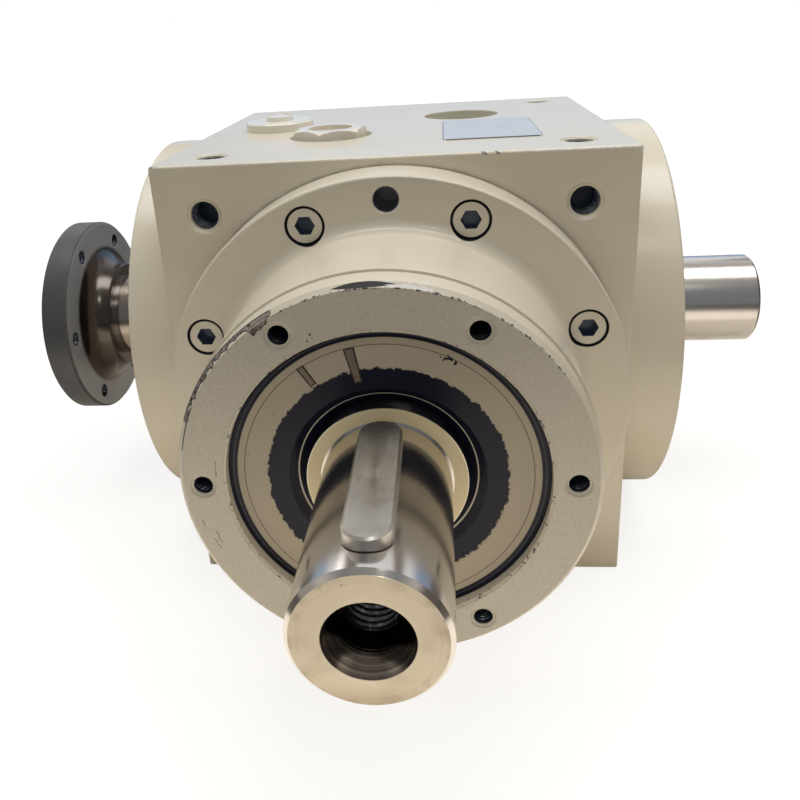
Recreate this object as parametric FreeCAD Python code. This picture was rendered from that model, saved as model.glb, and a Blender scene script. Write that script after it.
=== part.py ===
"""Right angle gearbox: a cube housing, a front shaft and a cross shaft joined by a spiral bevel pair.

Millimetres. The origin is the centre of the housing's bottom face, +Z is up, the front shaft points to -Y
and the cross shaft lies along X. Each shaft line is modelled in a frame of its own: its local Z points out
of the housing from the point where the two shaft axes meet, and its local Y points up.
"""
import FreeCAD, Part
import math
import os

# How far a cutting tool runs past the face that it cuts
OVERSHOOT = 1.0

# Half the angle of the countersinks
COUNTERSINK = math.radians(60.0)

# Housing, with M10 corner holes; the far face of each pair has holes a hair wider
CUBE = 140.0
EDGE_ROUND = 0.8
WALL = 14.0
CAVITY_ROUND = 20.0
CORNER_HOLE_SPACING = 110.0
CORNER_HOLE_RADIUS = 4.25
FAR_HOLE_RADIUS = 4.26
CORNER_HOLE_MOUTH = 5.6
CORNER_HOLE_SINK = math.radians(70.0)
CORNER_HOLE_DEPTH = 10.0
BORE_REACH = 10.0

# Flanges of the front carrier and the side covers
FLANGE_RADIUS = 67.5
FLANGE_ROUND = 1.0
SHIM = 0.5
SHIM_SETBACK = 0.8
FRONT_FLANGE = 14.5
SIDE_FLANGE = 16.0
SPIGOT_RADIUS = 50.0
SPIGOT_PLAY = 0.05
SPIGOT_INNER_END = 56.0
SCREW_CIRCLE = 59.0
SCREW_COUNT = 8
JACK_CIRCLE = 61.0
JACK_RADIUS = 3.4
JACK_MOUTH = 4.1

# Nose of the front carrier
NOSE_FACE = 128.5
BOSS_RADIUS = 52.6
BOSS_FILLET = 4.0
PILOT_RADIUS = 52.0
PILOT_LENGTH = 8.2
PILOT_CHAMFER = 1.2
NOSE_BORE = 40.0
NOSE_BORE_CHAMFER = 0.6
NOSE_HOLE_CIRCLE = 46.0
NOSE_HOLE_COUNT = 6
NOSE_HOLE_RADIUS = 2.5
NOSE_HOLE_MOUTH = 3.1
NOSE_HOLE_DEPTH = 14.0

# Cap screws of size M6
SCREW_RADIUS = 2.97
SCREW_HOLE_RADIUS = 3.0
SCREW_THROUGH_RADIUS = 3.3
SCREW_LENGTH = 16.0
HEAD_RADIUS = 5.0
HEAD_HEIGHT = 6.0
HEAD_BELOW_FACE = 0.3
COUNTERBORE_RADIUS = 5.5
SOCKET_ACROSS_FLATS = 5.0
SOCKET_DEPTH = 3.0
TAPPED_DEPTH = 9.5

# Shafts
SHAFT_RADIUS = 16.0
SHAFT_CHAMFER = 1.0
SEAT_MARGIN = 0.5
SEAL_JOURNAL = 20.0
BEARING_SEAT = 22.5
FRONT_SHAFT_END = 180.5
FRONT_SHOULDER = 126.5
RIGHT_SHAFT_END = 127.5
LEFT_SHAFT_END = 131.5
SIDE_SHOULDER = 86.0
SHAFT_MIDDLE = 22.0
GEAR_SEAT = 22.75
GEAR_COLLAR = 25.0
GEAR_COLLAR_LENGTH = 9.0
LEFT_COLLAR = 27.0
LEFT_COLLAR_LENGTH = 7.0

# Threaded centre hole in each shaft end, of size M12
CENTRE_MOUTH = 9.05
CENTRE_CONE = math.radians(30.0)
CENTRE_RELIEF = 6.5
CENTRE_THREAD = 6.0
CENTRE_RELIEF_DEPTH = 9.5
CENTRE_DEPTH = 34.0

# Parallel keys
KEY_WIDTH = 10.0
KEY_HEIGHT = 8.0
KEY_SUNK = 5.0
FRONT_KEY_LENGTH = 45.0
FRONT_KEY_SETBACK = 5.0
GEAR_KEY_HEIGHT = 7.0
GEAR_KEY_SUNK = 4.0
GEAR_KEY_LENGTH = 18.0
HUB_KEY_LENGTH = 15.0
HUB_KEY_SETBACK = 2.0
HUB_KEY_TURN = 90.0
KEY_EDGE = 0.5
KEY_PLAY = 0.1
KEYWAY_ROOM = 0.3

# Spiral bevel pair, both gears with the same number of teeth
TEETH = 24
MODULE = 3.5
FACE_WIDTH = 18.0
PITCH_ANGLE = math.radians(45.0)
PRESSURE_ANGLE = math.radians(20.0)
SPIRAL_ANGLE = math.radians(35.0)
ADDENDUM = 0.8 * MODULE
DEDENDUM = 1.04 * MODULE
BACKLASH = 0.36
TOOTH_FOOT = 0.8
BLANK_OVERHANG = 0.25
RIM_DEPTH = 2 * MODULE
OUTER_CONE = MODULE * TEETH / 2 / math.sin(PITCH_ANGLE)
INNER_CONE = OUTER_CONE - FACE_WIDTH
GEAR_BACK_RADIUS = 28.0

# Taper roller bearings, measured from the back face of the cone
BEARING_OUTER = 37.5
BEARING_WIDTH = 20.0
CUP_WIDTH = 15.5
CONE_BACK = 53.0
OUTER_CONE_BACK = 99.0
ROLLER_COUNT = 15
ROLLER_RADIUS = 4.0
ROLLER_LENGTH = 13.0
ROLLER_TILT = math.radians(12.0)
ROLLER_MIDDLE = 10.0
ROLLER_PITCH_RADIUS = 30.0
ROLLER_PLAY = 0.04
ROLLER_END_PLAY = 0.15
LARGE_RIB = 29.5
SMALL_RIB = 26.0
CAGE_START = 1.6
CAGE_END = 18.4
CAGE_INSIDE = 0.5
CAGE_THICKNESS = 0.9
CAGE_PLAY = 0.2

# Bores behind the bearings, shaft seals, lock nut
FRONT_LIP_RADIUS = 33.0
SIDE_LIP_RADIUS = 29.0
SIDE_LIP_WIDTH = 3.5
SIDE_SEAL_RADIUS = 31.0
SIDE_SEAL_WIDTH = 8.0
FRONT_SEAL_WIDTH = 10.0
FRONT_SEAL_RECESS = 3.3
SEAL_LEG = 3.5
SEAL_WEB = 3.0
SEAL_PLAY = 0.06
SEAL_NECK = 4.5
SEAL_LIP_MOUTH = 1.2
SEAL_LIP_START = 1.0
SEAL_LIP_END = 1.8
SEAL_LIP_TAIL = 3.6
SEAL_LIP_BACK = 2.0
WASHER_THICKNESS = 1.5
WASHER_RADIUS = 34.0
NUT_RADIUS = 32.5
NUT_WIDTH = 10.0
NUT_CHAMFER = 1.0
NUT_SLOT_WIDTH = 7.0
NUT_SLOT_DEPTH = 3.0
TAB_WIDTH = 6.0
TAB_GROOVE_DEPTH = 2.3

# Flanged hub on the left shaft end
HUB_FACE = 132.0
HUB_FLANGE = 9.7
HUB_FLANGE_RADIUS = 37.5
HUB_FLANGE_EDGE = 0.8
HUB_NECK_END = 113.5
HUB_NECK_RADIUS = 20.5
HUB_NECK_EDGE = 0.5
HUB_FILLET = 8.0
HUB_HOLE_CIRCLE = 31.5
HUB_HOLE_COUNT = 6
HUB_HOLE_RADIUS = 2.5
HUB_HOLE_MOUTH = 2.9
HUB_HOLE_TURN = 3.0

# Ports on the top face
PORT_X = 22.5
PORT_Y = 21.0
PORT_HOLE = 8.0
SPOT_FACE = 14.0
SIGHT_SPOT_DEPTH = 2.0
PLUG_SPOT_DEPTH = 4.0
SIGHT_HEX = 22.0
SIGHT_CHAMFER = math.radians(30.0)
SIGHT_HEIGHT = 2.7
SIGHT_GLASS_RADIUS = 7.6
SIGHT_GLASS_RECESS = 1.2
SIGHT_GLASS_THICKNESS = 2.0
SIGHT_TURN = 20.0
PLUG_SOCKET = 10.0
PLUG_LENGTH = 8.0
BREATHER_X = -45.0
BREATHER_Y = 5.0
BREATHER_RADIUS = 12.5
BREATHER_HEIGHT = 3.1
BREATHER_EDGE = 0.5
BREATHER_KNOB = 5.2
BREATHER_KNOB_HEIGHT = 1.5
BREATHER_KNOB_DRAFT = 0.4
BREATHER_HOLE = 5.0
THREAD_PLAY = 0.03

# Frames of the six faces, all with their origin where the shaft axes meet
HALF = CUBE / 2
ORIGIN = FreeCAD.Vector(0, 0, 0)
AXIS = FreeCAD.Vector(0, 0, 1)
UP = FreeCAD.Vector(0, 1, 0)


def face_frame(across, up, out):
    """Placement that takes the local X, Y and Z to the given directions, at the middle of the housing."""
    rows = zip(across, up, out, (0, 0, HALF))
    return FreeCAD.Placement(FreeCAD.Matrix(*[value for row in rows for value in row]))


FRONT = face_frame((1, 0, 0), (0, 0, 1), (0, -1, 0))
BACK = face_frame((-1, 0, 0), (0, 0, 1), (0, 1, 0))
RIGHT = face_frame((0, 1, 0), (0, 0, 1), (1, 0, 0))
LEFT = face_frame((0, -1, 0), (0, 0, 1), (-1, 0, 0))
TOP = face_frame((1, 0, 0), (0, 1, 0), (0, 0, 1))
BASE = face_frame((-1, 0, 0), (0, 1, 0), (0, 0, -1))


def placed(shape, frame):
    """The shape, moved from its local frame to the gearbox's frame."""
    moved = shape.copy()
    moved.Placement = frame.multiply(moved.Placement)
    return moved


def write(node, shape, frame):
    """Writes one piece, or one group of like pieces, as a file of its own."""
    placed(shape, frame).exportStep("parts/" + node + ".step")


def turned(outline):
    """Solid of revolution about the local axis, from corners given as distance along it and radius."""
    corners = [FreeCAD.Vector(radius, 0, along) for along, radius in outline]
    return Part.Face(Part.makePolygon(corners + corners[:1])).revolve(ORIGIN, AXIS, 360)


def rod(radius, start, end, x=0.0, y=0.0):
    """Cylinder parallel to the local axis."""
    return Part.makeCylinder(radius, end - start, FreeCAD.Vector(x, y, start), AXIS)


def moved_to(shape, x, y):
    """The shape, moved sideways from the local axis."""
    return placed(shape, FreeCAD.Placement(FreeCAD.Vector(x, y, 0), FreeCAD.Rotation()))


def holes(radius, mouth, bottom, face, places, half_angle=COUNTERSINK):
    """Tools for round holes from their bottom to a face on either side, with countersunk mouths."""
    out = math.copysign(1.0, face - bottom)
    sink = face - out * (mouth - radius) / math.tan(half_angle)
    end = face + out * OVERSHOOT
    tool = turned([(bottom, 0), (bottom, radius), (sink, radius), (face, mouth), (end, mouth), (end, 0)])
    return [moved_to(tool, x, y) for x, y in places]


def spots(circle, count, first):
    """Evenly spaced points on a circle about the local axis."""
    angles = [math.radians(first + 360.0 * i / count) for i in range(count)]
    return [(circle * math.cos(angle), circle * math.sin(angle)) for angle in angles]


def rods(radius, start, end, places):
    """Parallel cylinders at the given places."""
    return [rod(radius, start, end, x, y) for x, y in places]


def hexagon(across_flats, start, end, x=0.0, y=0.0, turn=0.0):
    """Six-sided prism parallel to the local axis."""
    corners = spots(across_flats / math.sqrt(3), 6, turn)
    points = [FreeCAD.Vector(x + dx, y + dy, start) for dx, dy in corners]
    return Part.Face(Part.makePolygon(points + points[:1])).extrude(AXIS * (end - start))


def key_block(width, start, end, low, high):
    """Round-ended key along the local axis, reaching from low to high above it."""
    half = width / 2
    middle = Part.makeBox(width, high - low, end - start - width, FreeCAD.Vector(-half, low, start + half))
    ends = [
        Part.makeCylinder(half, high - low, FreeCAD.Vector(0, low, along), UP)
        for along in (start + half, end - half)
    ]
    return middle.multiFuse(ends).removeSplitter()


def parallel_key(start, end, low, high):
    """Round-ended key whose top edges are chamfered."""
    key = key_block(KEY_WIDTH, start, end, low, high)
    top = [edge for edge in key.Edges if all(abs(point.Y - high) < 1e-6 for point in edge.Vertexes)]
    return key.makeChamfer(KEY_EDGE, top)


def circle_edges(shape, along, radius):
    """The edges of a turned shape that run round its axis at this place."""
    found = []
    for edge in shape.Edges:
        if edge.Curve.TypeId != "Part::GeomCircle":
            continue
        centre = edge.Curve.Center
        if abs(edge.Curve.Radius - radius) < 1e-6 and abs(centre.z - along) < 1e-6:
            found.append(edge)
    return found


def screw_spots():
    """Places of the cap screws on each flange."""
    return spots(SCREW_CIRCLE, SCREW_COUNT, 180.0 / SCREW_COUNT)


def centre_hole(end):
    """Threaded centre hole with a protecting cone, cut into a shaft end at this distance."""
    cone_depth = (CENTRE_MOUTH - CENTRE_RELIEF) / math.tan(CENTRE_CONE)
    return turned([
        (end, 0),
        (end, CENTRE_MOUTH),
        (end - cone_depth, CENTRE_RELIEF),
        (end - CENTRE_RELIEF_DEPTH, CENTRE_RELIEF),
        (end - CENTRE_RELIEF_DEPTH, CENTRE_THREAD),
        (end - CENTRE_DEPTH, CENTRE_THREAD),
        (end - CENTRE_DEPTH - CENTRE_THREAD / 2, 0),
    ])


# Housing

def housing():
    """Cube with a rounded cavity, three carrier bores, screw holes, corner holes and top ports."""
    low = FreeCAD.Vector(-HALF, -HALF, -HALF)
    cube = Part.makeBox(CUBE, CUBE, CUBE, low)
    body = cube.makeFillet(EDGE_ROUND, cube.Edges)
    room = CUBE - 2 * WALL
    inside = Part.makeBox(room, room, room, FreeCAD.Vector(-room / 2, -room / 2, -room / 2))
    cuts = [inside.makeFillet(CAVITY_ROUND, inside.Edges)]
    half_spacing = CORNER_HOLE_SPACING / 2
    corners = [(sx * half_spacing, sy * half_spacing) for sx in (-1, 1) for sy in (-1, 1)]
    about_middle = FreeCAD.Placement(FreeCAD.Vector(0, 0, -HALF), FreeCAD.Rotation())
    for frame in (FRONT, BACK, RIGHT, LEFT, TOP, BASE):
        radius = CORNER_HOLE_RADIUS if frame in (FRONT, RIGHT, TOP) else FAR_HOLE_RADIUS
        bottom = HALF - CORNER_HOLE_DEPTH
        tools = holes(radius, CORNER_HOLE_MOUTH, bottom, HALF, corners, CORNER_HOLE_SINK)
        if frame in (FRONT, RIGHT, LEFT):
            tools.append(rod(SPIGOT_RADIUS, HALF - WALL - BORE_REACH, HALF + OVERSHOOT))
            tools.extend(rods(SCREW_HOLE_RADIUS, HALF - TAPPED_DEPTH, HALF + OVERSHOOT, screw_spots()))
        if frame is TOP:
            tools.extend(port_cuts())
        cuts.extend(placed(tool, about_middle.multiply(frame)) for tool in tools)
    return body.cut(cuts)


def port_cuts():
    """Spot faces and threaded holes of the sight glass, the sunk plug and the breather."""
    floor = HALF - WALL - OVERSHOOT
    above = HALF + OVERSHOOT
    return [
        rod(SPOT_FACE, HALF - SIGHT_SPOT_DEPTH, above, -PORT_X, -PORT_Y),
        rod(PORT_HOLE, floor, HALF, -PORT_X, -PORT_Y),
        rod(SPOT_FACE, HALF - PLUG_SPOT_DEPTH, above, PORT_X, PORT_Y),
        rod(PORT_HOLE, floor, HALF, PORT_X, PORT_Y),
        rod(BREATHER_HOLE, floor, above, BREATHER_X, BREATHER_Y),
    ]


def sight_body():
    """Hex-rimmed body of the sight glass, with a chamfered top and a threaded shank."""
    seat = HALF - SIGHT_SPOT_DEPTH
    top = HALF + SIGHT_HEIGHT
    hexed = hexagon(SIGHT_HEX, seat, top, turn=SIGHT_TURN)
    corner = SIGHT_HEX / math.sqrt(3)
    flat = SIGHT_HEX / 2
    drop = (corner - flat) * math.tan(SIGHT_CHAMFER)
    hexed = hexed.common(turned([(seat, 0), (seat, corner), (top - drop, corner), (top, flat), (top, 0)]))
    body = hexed.fuse(rod(PORT_HOLE - THREAD_PLAY, HALF - WALL, seat))
    window = rod(SIGHT_GLASS_RADIUS, top - SIGHT_GLASS_RECESS - SIGHT_GLASS_THICKNESS, top)
    return body.cut(window)


def sight_glass():
    """Glass disc seated in the hex rim."""
    top = HALF + SIGHT_HEIGHT - SIGHT_GLASS_RECESS
    return rod(SIGHT_GLASS_RADIUS, top - SIGHT_GLASS_THICKNESS, top)


def sunk_plug():
    """Headless threaded plug with a hex socket, level with the floor of its spot face."""
    top = HALF - PLUG_SPOT_DEPTH
    body = rod(PORT_HOLE - THREAD_PLAY, top - PLUG_LENGTH, top)
    return body.cut(hexagon(PLUG_SOCKET, top - PLUG_LENGTH / 2, top))


def breather():
    """Round breather cap with a small knob and a threaded shank."""
    shank = BREATHER_HOLE - THREAD_PLAY
    cap = HALF + BREATHER_HEIGHT
    return turned([
        (HALF - WALL, 0),
        (HALF - WALL, shank),
        (HALF, shank),
        (HALF, BREATHER_RADIUS),
        (cap - BREATHER_EDGE, BREATHER_RADIUS),
        (cap, BREATHER_RADIUS - BREATHER_EDGE),
        (cap, BREATHER_KNOB),
        (cap + BREATHER_KNOB_HEIGHT, BREATHER_KNOB - BREATHER_KNOB_DRAFT),
        (cap + BREATHER_KNOB_HEIGHT, 0),
    ])


# Front carrier, side covers, shims and screws

def flange_cuts(face):
    """Screw holes with counterbores and two jacking holes, through a flange with this outer face."""
    seat = face - HEAD_BELOW_FACE - HEAD_HEIGHT
    cuts = rods(SCREW_THROUGH_RADIUS, HALF, seat + OVERSHOOT, screw_spots())
    cuts += rods(COUNTERBORE_RADIUS, seat, face + BOSS_FILLET, screw_spots())
    cuts += holes(JACK_RADIUS, JACK_MOUTH, HALF, face, spots(JACK_CIRCLE, 2, 90.0))
    return cuts


def front_carrier():
    """Flanged carrier with a long boss that holds both front bearings and the front seal."""
    back = HALF + SHIM
    face = back + FRONT_FLANGE
    pilot = NOSE_FACE - PILOT_LENGTH
    seal_seat = NOSE_FACE - FRONT_SEAL_RECESS - FRONT_SEAL_WIDTH
    inner_cup_back = CONE_BACK + BEARING_WIDTH
    outer_cup_back = OUTER_CONE_BACK - BEARING_WIDTH
    body = turned([
        (SPIGOT_INNER_END, BEARING_OUTER),
        (SPIGOT_INNER_END, SPIGOT_RADIUS - SPIGOT_PLAY),
        (back, SPIGOT_RADIUS - SPIGOT_PLAY),
        (back, FLANGE_RADIUS),
        (face, FLANGE_RADIUS),
        (face, BOSS_RADIUS),
        (pilot, BOSS_RADIUS),
        (pilot, PILOT_RADIUS),
        (NOSE_FACE - PILOT_CHAMFER, PILOT_RADIUS),
        (NOSE_FACE, PILOT_RADIUS - PILOT_CHAMFER),
        (NOSE_FACE, NOSE_BORE + NOSE_BORE_CHAMFER),
        (NOSE_FACE - NOSE_BORE_CHAMFER, NOSE_BORE),
        (seal_seat, NOSE_BORE),
        (seal_seat, BEARING_OUTER),
        (outer_cup_back, BEARING_OUTER),
        (outer_cup_back, FRONT_LIP_RADIUS),
        (inner_cup_back, FRONT_LIP_RADIUS),
        (inner_cup_back, BEARING_OUTER),
    ])
    body = body.makeFillet(FLANGE_ROUND, circle_edges(body, face, FLANGE_RADIUS))
    body = body.makeFillet(BOSS_FILLET, circle_edges(body, face, BOSS_RADIUS))
    nose_spots = spots(NOSE_HOLE_CIRCLE, NOSE_HOLE_COUNT, 0.0)
    bottom = NOSE_FACE - NOSE_HOLE_DEPTH
    nose_holes = holes(NOSE_HOLE_RADIUS, NOSE_HOLE_MOUTH, bottom, NOSE_FACE, nose_spots)
    return body.cut(flange_cuts(face) + nose_holes)


def side_cover():
    """Flanged cover that holds one bearing cup and one seal of the cross shaft."""
    back = HALF + SHIM
    face = back + SIDE_FLANGE
    cup_back = CONE_BACK + BEARING_WIDTH
    seal_seat = cup_back + SIDE_LIP_WIDTH
    body = turned([
        (SPIGOT_INNER_END, BEARING_OUTER),
        (SPIGOT_INNER_END, SPIGOT_RADIUS - SPIGOT_PLAY),
        (back, SPIGOT_RADIUS - SPIGOT_PLAY),
        (back, FLANGE_RADIUS),
        (face, FLANGE_RADIUS),
        (face, SIDE_SEAL_RADIUS),
        (seal_seat, SIDE_SEAL_RADIUS),
        (seal_seat, SIDE_LIP_RADIUS),
        (cup_back, SIDE_LIP_RADIUS),
        (cup_back, BEARING_OUTER),
    ])
    body = body.makeFillet(FLANGE_ROUND, circle_edges(body, face, FLANGE_RADIUS))
    return body.cut(flange_cuts(face))


def shim():
    """Thin ring between a flange and the housing, with holes for the screws."""
    inner = SPIGOT_RADIUS + SPIGOT_PLAY
    outer = FLANGE_RADIUS - SHIM_SETBACK
    ring = turned([(HALF, inner), (HALF, outer), (HALF + SHIM, outer), (HALF + SHIM, inner)])
    return ring.cut(rods(SCREW_THROUGH_RADIUS, HALF - OVERSHOOT, HALF + SHIM + OVERSHOOT, screw_spots()))


def cap_screws(face):
    """The cap screws of one flange, heads just below its outer face."""
    seat = face - HEAD_BELOW_FACE - HEAD_HEIGHT
    top = seat + HEAD_HEIGHT
    screws = []
    for x, y in screw_spots():
        screw = rod(HEAD_RADIUS, seat, top, x, y).fuse(rod(SCREW_RADIUS, seat - SCREW_LENGTH, seat, x, y))
        screws.append(screw.cut(hexagon(SOCKET_ACROSS_FLATS, top - SOCKET_DEPTH, top, x, y)))
    return Part.makeCompound(screws)


# Spiral bevel teeth

def cone_point(distance, height):
    """Distance along the gear axis and radius of a point at a cone distance and a height over the cone."""
    along = distance * math.cos(PITCH_ANGLE) - height * math.sin(PITCH_ANGLE)
    radius = distance * math.sin(PITCH_ANGLE) + height * math.cos(PITCH_ANGLE)
    return along, radius


def involute(angle):
    """Involute function of a pressure angle."""
    return math.tan(angle) - angle


def half_tooth(height):
    """Half the tooth's angle on the back cone at the heel, at a height over the pitch cone."""
    pitch_radius = OUTER_CONE * math.tan(PITCH_ANGLE)
    base_radius = pitch_radius * math.cos(PRESSURE_ANGLE)
    radius = max(pitch_radius + height, base_radius)
    at_pitch = (math.pi * MODULE - BACKLASH) / 4 / pitch_radius
    return at_pitch + involute(PRESSURE_ANGLE) - involute(math.acos(base_radius / radius))


def tooth_section(distance, hand, turn):
    """Outline of one tooth square to the pitch cone, at a cone distance, turned along its spiral."""
    pitch_radius = OUTER_CONE * math.tan(PITCH_ANGLE)
    scale = distance / OUTER_CONE
    heights = [-DEDENDUM - TOOTH_FOOT, -DEDENDUM / 2, 0.0, ADDENDUM]
    side = []
    for height in heights:
        angle = half_tooth(height)
        rise = (pitch_radius + height) * math.cos(angle) - pitch_radius
        width = (pitch_radius + height) * math.sin(angle)
        along, radius = cone_point(distance, rise * scale)
        side.append((along, radius, width * scale))
    outline = [(a, r, -w) for a, r, w in side] + [(a, r, w) for a, r, w in reversed(side)]
    middle_cone = OUTER_CONE - FACE_WIDTH / 2
    spiral = math.tan(SPIRAL_ANGLE) / math.sin(PITCH_ANGLE) * math.log(distance / middle_cone)
    lead = FreeCAD.Rotation(AXIS, math.degrees(hand * spiral) + turn)
    points = [lead.multVec(FreeCAD.Vector(r, w, a)) for a, r, w in outline]
    return Part.makePolygon(points + points[:1])


def teeth(hand, first):
    """All teeth of one gear, right-handed or left-handed, the first one at this angle."""
    distances = (INNER_CONE, INNER_CONE + FACE_WIDTH / 2, OUTER_CONE)
    made = []
    for i in range(TEETH):
        turn = first + 360.0 * i / TEETH
        made.append(Part.makeLoft([tooth_section(d, hand, turn) for d in distances], True, True))
    return made


def gear_blank(front, inner):
    """Outline of a gear blank from its front face to its back shoulder, down to an inner radius."""
    toe = INNER_CONE - BLANK_OVERHANG
    heel = OUTER_CONE + BLANK_OVERHANG
    toe_root = -DEDENDUM * toe / OUTER_CONE
    heel_root = -DEDENDUM * heel / OUTER_CONE
    toe_along, toe_radius = cone_point(toe, toe_root)
    toe_radius -= front - toe_along
    rim_along, rim_radius = cone_point(heel, heel_root - RIM_DEPTH)
    return [
        (front, inner),
        (front, toe_radius),
        cone_point(toe, toe_root),
        cone_point(heel, heel_root),
        (rim_along, rim_radius),
        (rim_along, GEAR_BACK_RADIUS),
        (CONE_BACK, GEAR_BACK_RADIUS),
    ]


def gear_front():
    """Distance of a gear's front face from the point where the axes meet."""
    return cone_point(INNER_CONE, -DEDENDUM)[0]


# Shafts, gear, keys and hub

def front_shaft():
    """Front shaft in one piece with the bevel pinion, with keyway, centre hole and tab groove."""
    nut_end = OUTER_CONE_BACK + WASHER_THICKNESS + NUT_WIDTH
    outline = gear_blank(gear_front(), 0.0) + [
        (CONE_BACK, BEARING_SEAT),
        (nut_end, BEARING_SEAT),
        (nut_end, SEAL_JOURNAL),
        (FRONT_SHOULDER, SEAL_JOURNAL),
        (FRONT_SHOULDER, SHAFT_RADIUS),
        (FRONT_SHAFT_END - SHAFT_CHAMFER, SHAFT_RADIUS),
        (FRONT_SHAFT_END, SHAFT_RADIUS - SHAFT_CHAMFER),
        (FRONT_SHAFT_END, 0),
    ]
    body = turned(outline).multiFuse(teeth(1, 0.0))
    groove_floor = BEARING_SEAT - TAB_GROOVE_DEPTH
    groove_start = OUTER_CONE_BACK - OVERSHOOT
    groove = Part.makeBox(
        TAB_WIDTH + KEY_PLAY, TAB_GROOVE_DEPTH + OVERSHOOT, nut_end + OVERSHOOT - groove_start,
        FreeCAD.Vector(-(TAB_WIDTH + KEY_PLAY) / 2, groove_floor, groove_start),
    )
    return body.cut([centre_hole(FRONT_SHAFT_END), front_keyway(), groove])


def front_key():
    """Key of the front shaft."""
    end = FRONT_SHAFT_END - FRONT_KEY_SETBACK
    low = SHAFT_RADIUS - KEY_SUNK
    return parallel_key(end - FRONT_KEY_LENGTH, end, low, low + KEY_HEIGHT)


def front_keyway():
    """Tool for the keyway of the front shaft, which leaves its key a little room at both ends."""
    end = FRONT_SHAFT_END - FRONT_KEY_SETBACK + KEYWAY_ROOM
    start = end - FRONT_KEY_LENGTH - 2 * KEYWAY_ROOM
    low = SHAFT_RADIUS - KEY_SUNK
    return key_block(KEY_WIDTH, start, end, low, low + KEY_HEIGHT)


def cross_shaft():
    """Stepped shaft through the housing, from the hub end at left to the plain end at right."""
    seat_end = CONE_BACK + BEARING_WIDTH + SEAT_MARGIN
    collar_end = gear_front()
    body = turned([
        (-LEFT_SHAFT_END, 0),
        (-LEFT_SHAFT_END, SHAFT_RADIUS - SHAFT_CHAMFER),
        (-LEFT_SHAFT_END + SHAFT_CHAMFER, SHAFT_RADIUS),
        (-SIDE_SHOULDER, SHAFT_RADIUS),
        (-SIDE_SHOULDER, SEAL_JOURNAL),
        (-seat_end, SEAL_JOURNAL),
        (-seat_end, BEARING_SEAT),
        (-CONE_BACK, BEARING_SEAT),
        (-CONE_BACK, LEFT_COLLAR),
        (-CONE_BACK + LEFT_COLLAR_LENGTH, LEFT_COLLAR),
        (-CONE_BACK + 2 * LEFT_COLLAR_LENGTH, SHAFT_MIDDLE),
        (collar_end - GEAR_COLLAR_LENGTH, SHAFT_MIDDLE),
        (collar_end - GEAR_COLLAR_LENGTH, GEAR_COLLAR),
        (collar_end, GEAR_COLLAR),
        (collar_end, GEAR_SEAT),
        (CONE_BACK, GEAR_SEAT),
        (CONE_BACK, BEARING_SEAT),
        (seat_end, BEARING_SEAT),
        (seat_end, SEAL_JOURNAL),
        (SIDE_SHOULDER, SEAL_JOURNAL),
        (SIDE_SHOULDER, SHAFT_RADIUS),
        (RIGHT_SHAFT_END - SHAFT_CHAMFER, SHAFT_RADIUS),
        (RIGHT_SHAFT_END, SHAFT_RADIUS - SHAFT_CHAMFER),
        (RIGHT_SHAFT_END, 0),
    ])
    half_turn = FreeCAD.Placement(ORIGIN, FreeCAD.Rotation(UP, 180))
    at_left = [placed(shape, half_turn) for shape in (centre_hole(LEFT_SHAFT_END), hub_key())]
    return body.cut(at_left + [centre_hole(RIGHT_SHAFT_END), gear_key()])


def bevel_gear():
    """Bevel gear of the cross shaft, opposite in hand to the pinion, with bore and keyway."""
    outline = gear_blank(gear_front(), GEAR_SEAT) + [(CONE_BACK, GEAR_SEAT)]
    body = turned(outline).multiFuse(teeth(-1, 180.0 / TEETH))
    rise = GEAR_KEY_HEIGHT - GEAR_KEY_SUNK + KEY_PLAY
    return body.cut(keyway(GEAR_SEAT, rise, gear_front() - OVERSHOOT, CONE_BACK + OVERSHOOT))


def keyway(bore, rise, start, end):
    """Tool for a straight keyway along a bore of this radius, rising this far above it."""
    corner = FreeCAD.Vector(-KEY_WIDTH / 2, bore - OVERSHOOT, start)
    return Part.makeBox(KEY_WIDTH, rise + OVERSHOOT, end - start, corner)


def gear_key():
    """Key between the bevel gear and the cross shaft."""
    middle = (gear_front() + CONE_BACK) / 2
    low = GEAR_SEAT - GEAR_KEY_SUNK
    start = middle - GEAR_KEY_LENGTH / 2
    return parallel_key(start, start + GEAR_KEY_LENGTH, low, low + GEAR_KEY_HEIGHT)


def to_hub_key():
    """Turn from the top of the left shaft end to the side on which the hub's key sits."""
    return FreeCAD.Placement(ORIGIN, FreeCAD.Rotation(AXIS, HUB_KEY_TURN))


def hub_key():
    """Key between the hub and the left shaft end."""
    end = LEFT_SHAFT_END - HUB_KEY_SETBACK
    low = SHAFT_RADIUS - KEY_SUNK
    return placed(parallel_key(end - HUB_KEY_LENGTH, end, low, low + KEY_HEIGHT), to_hub_key())


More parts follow.
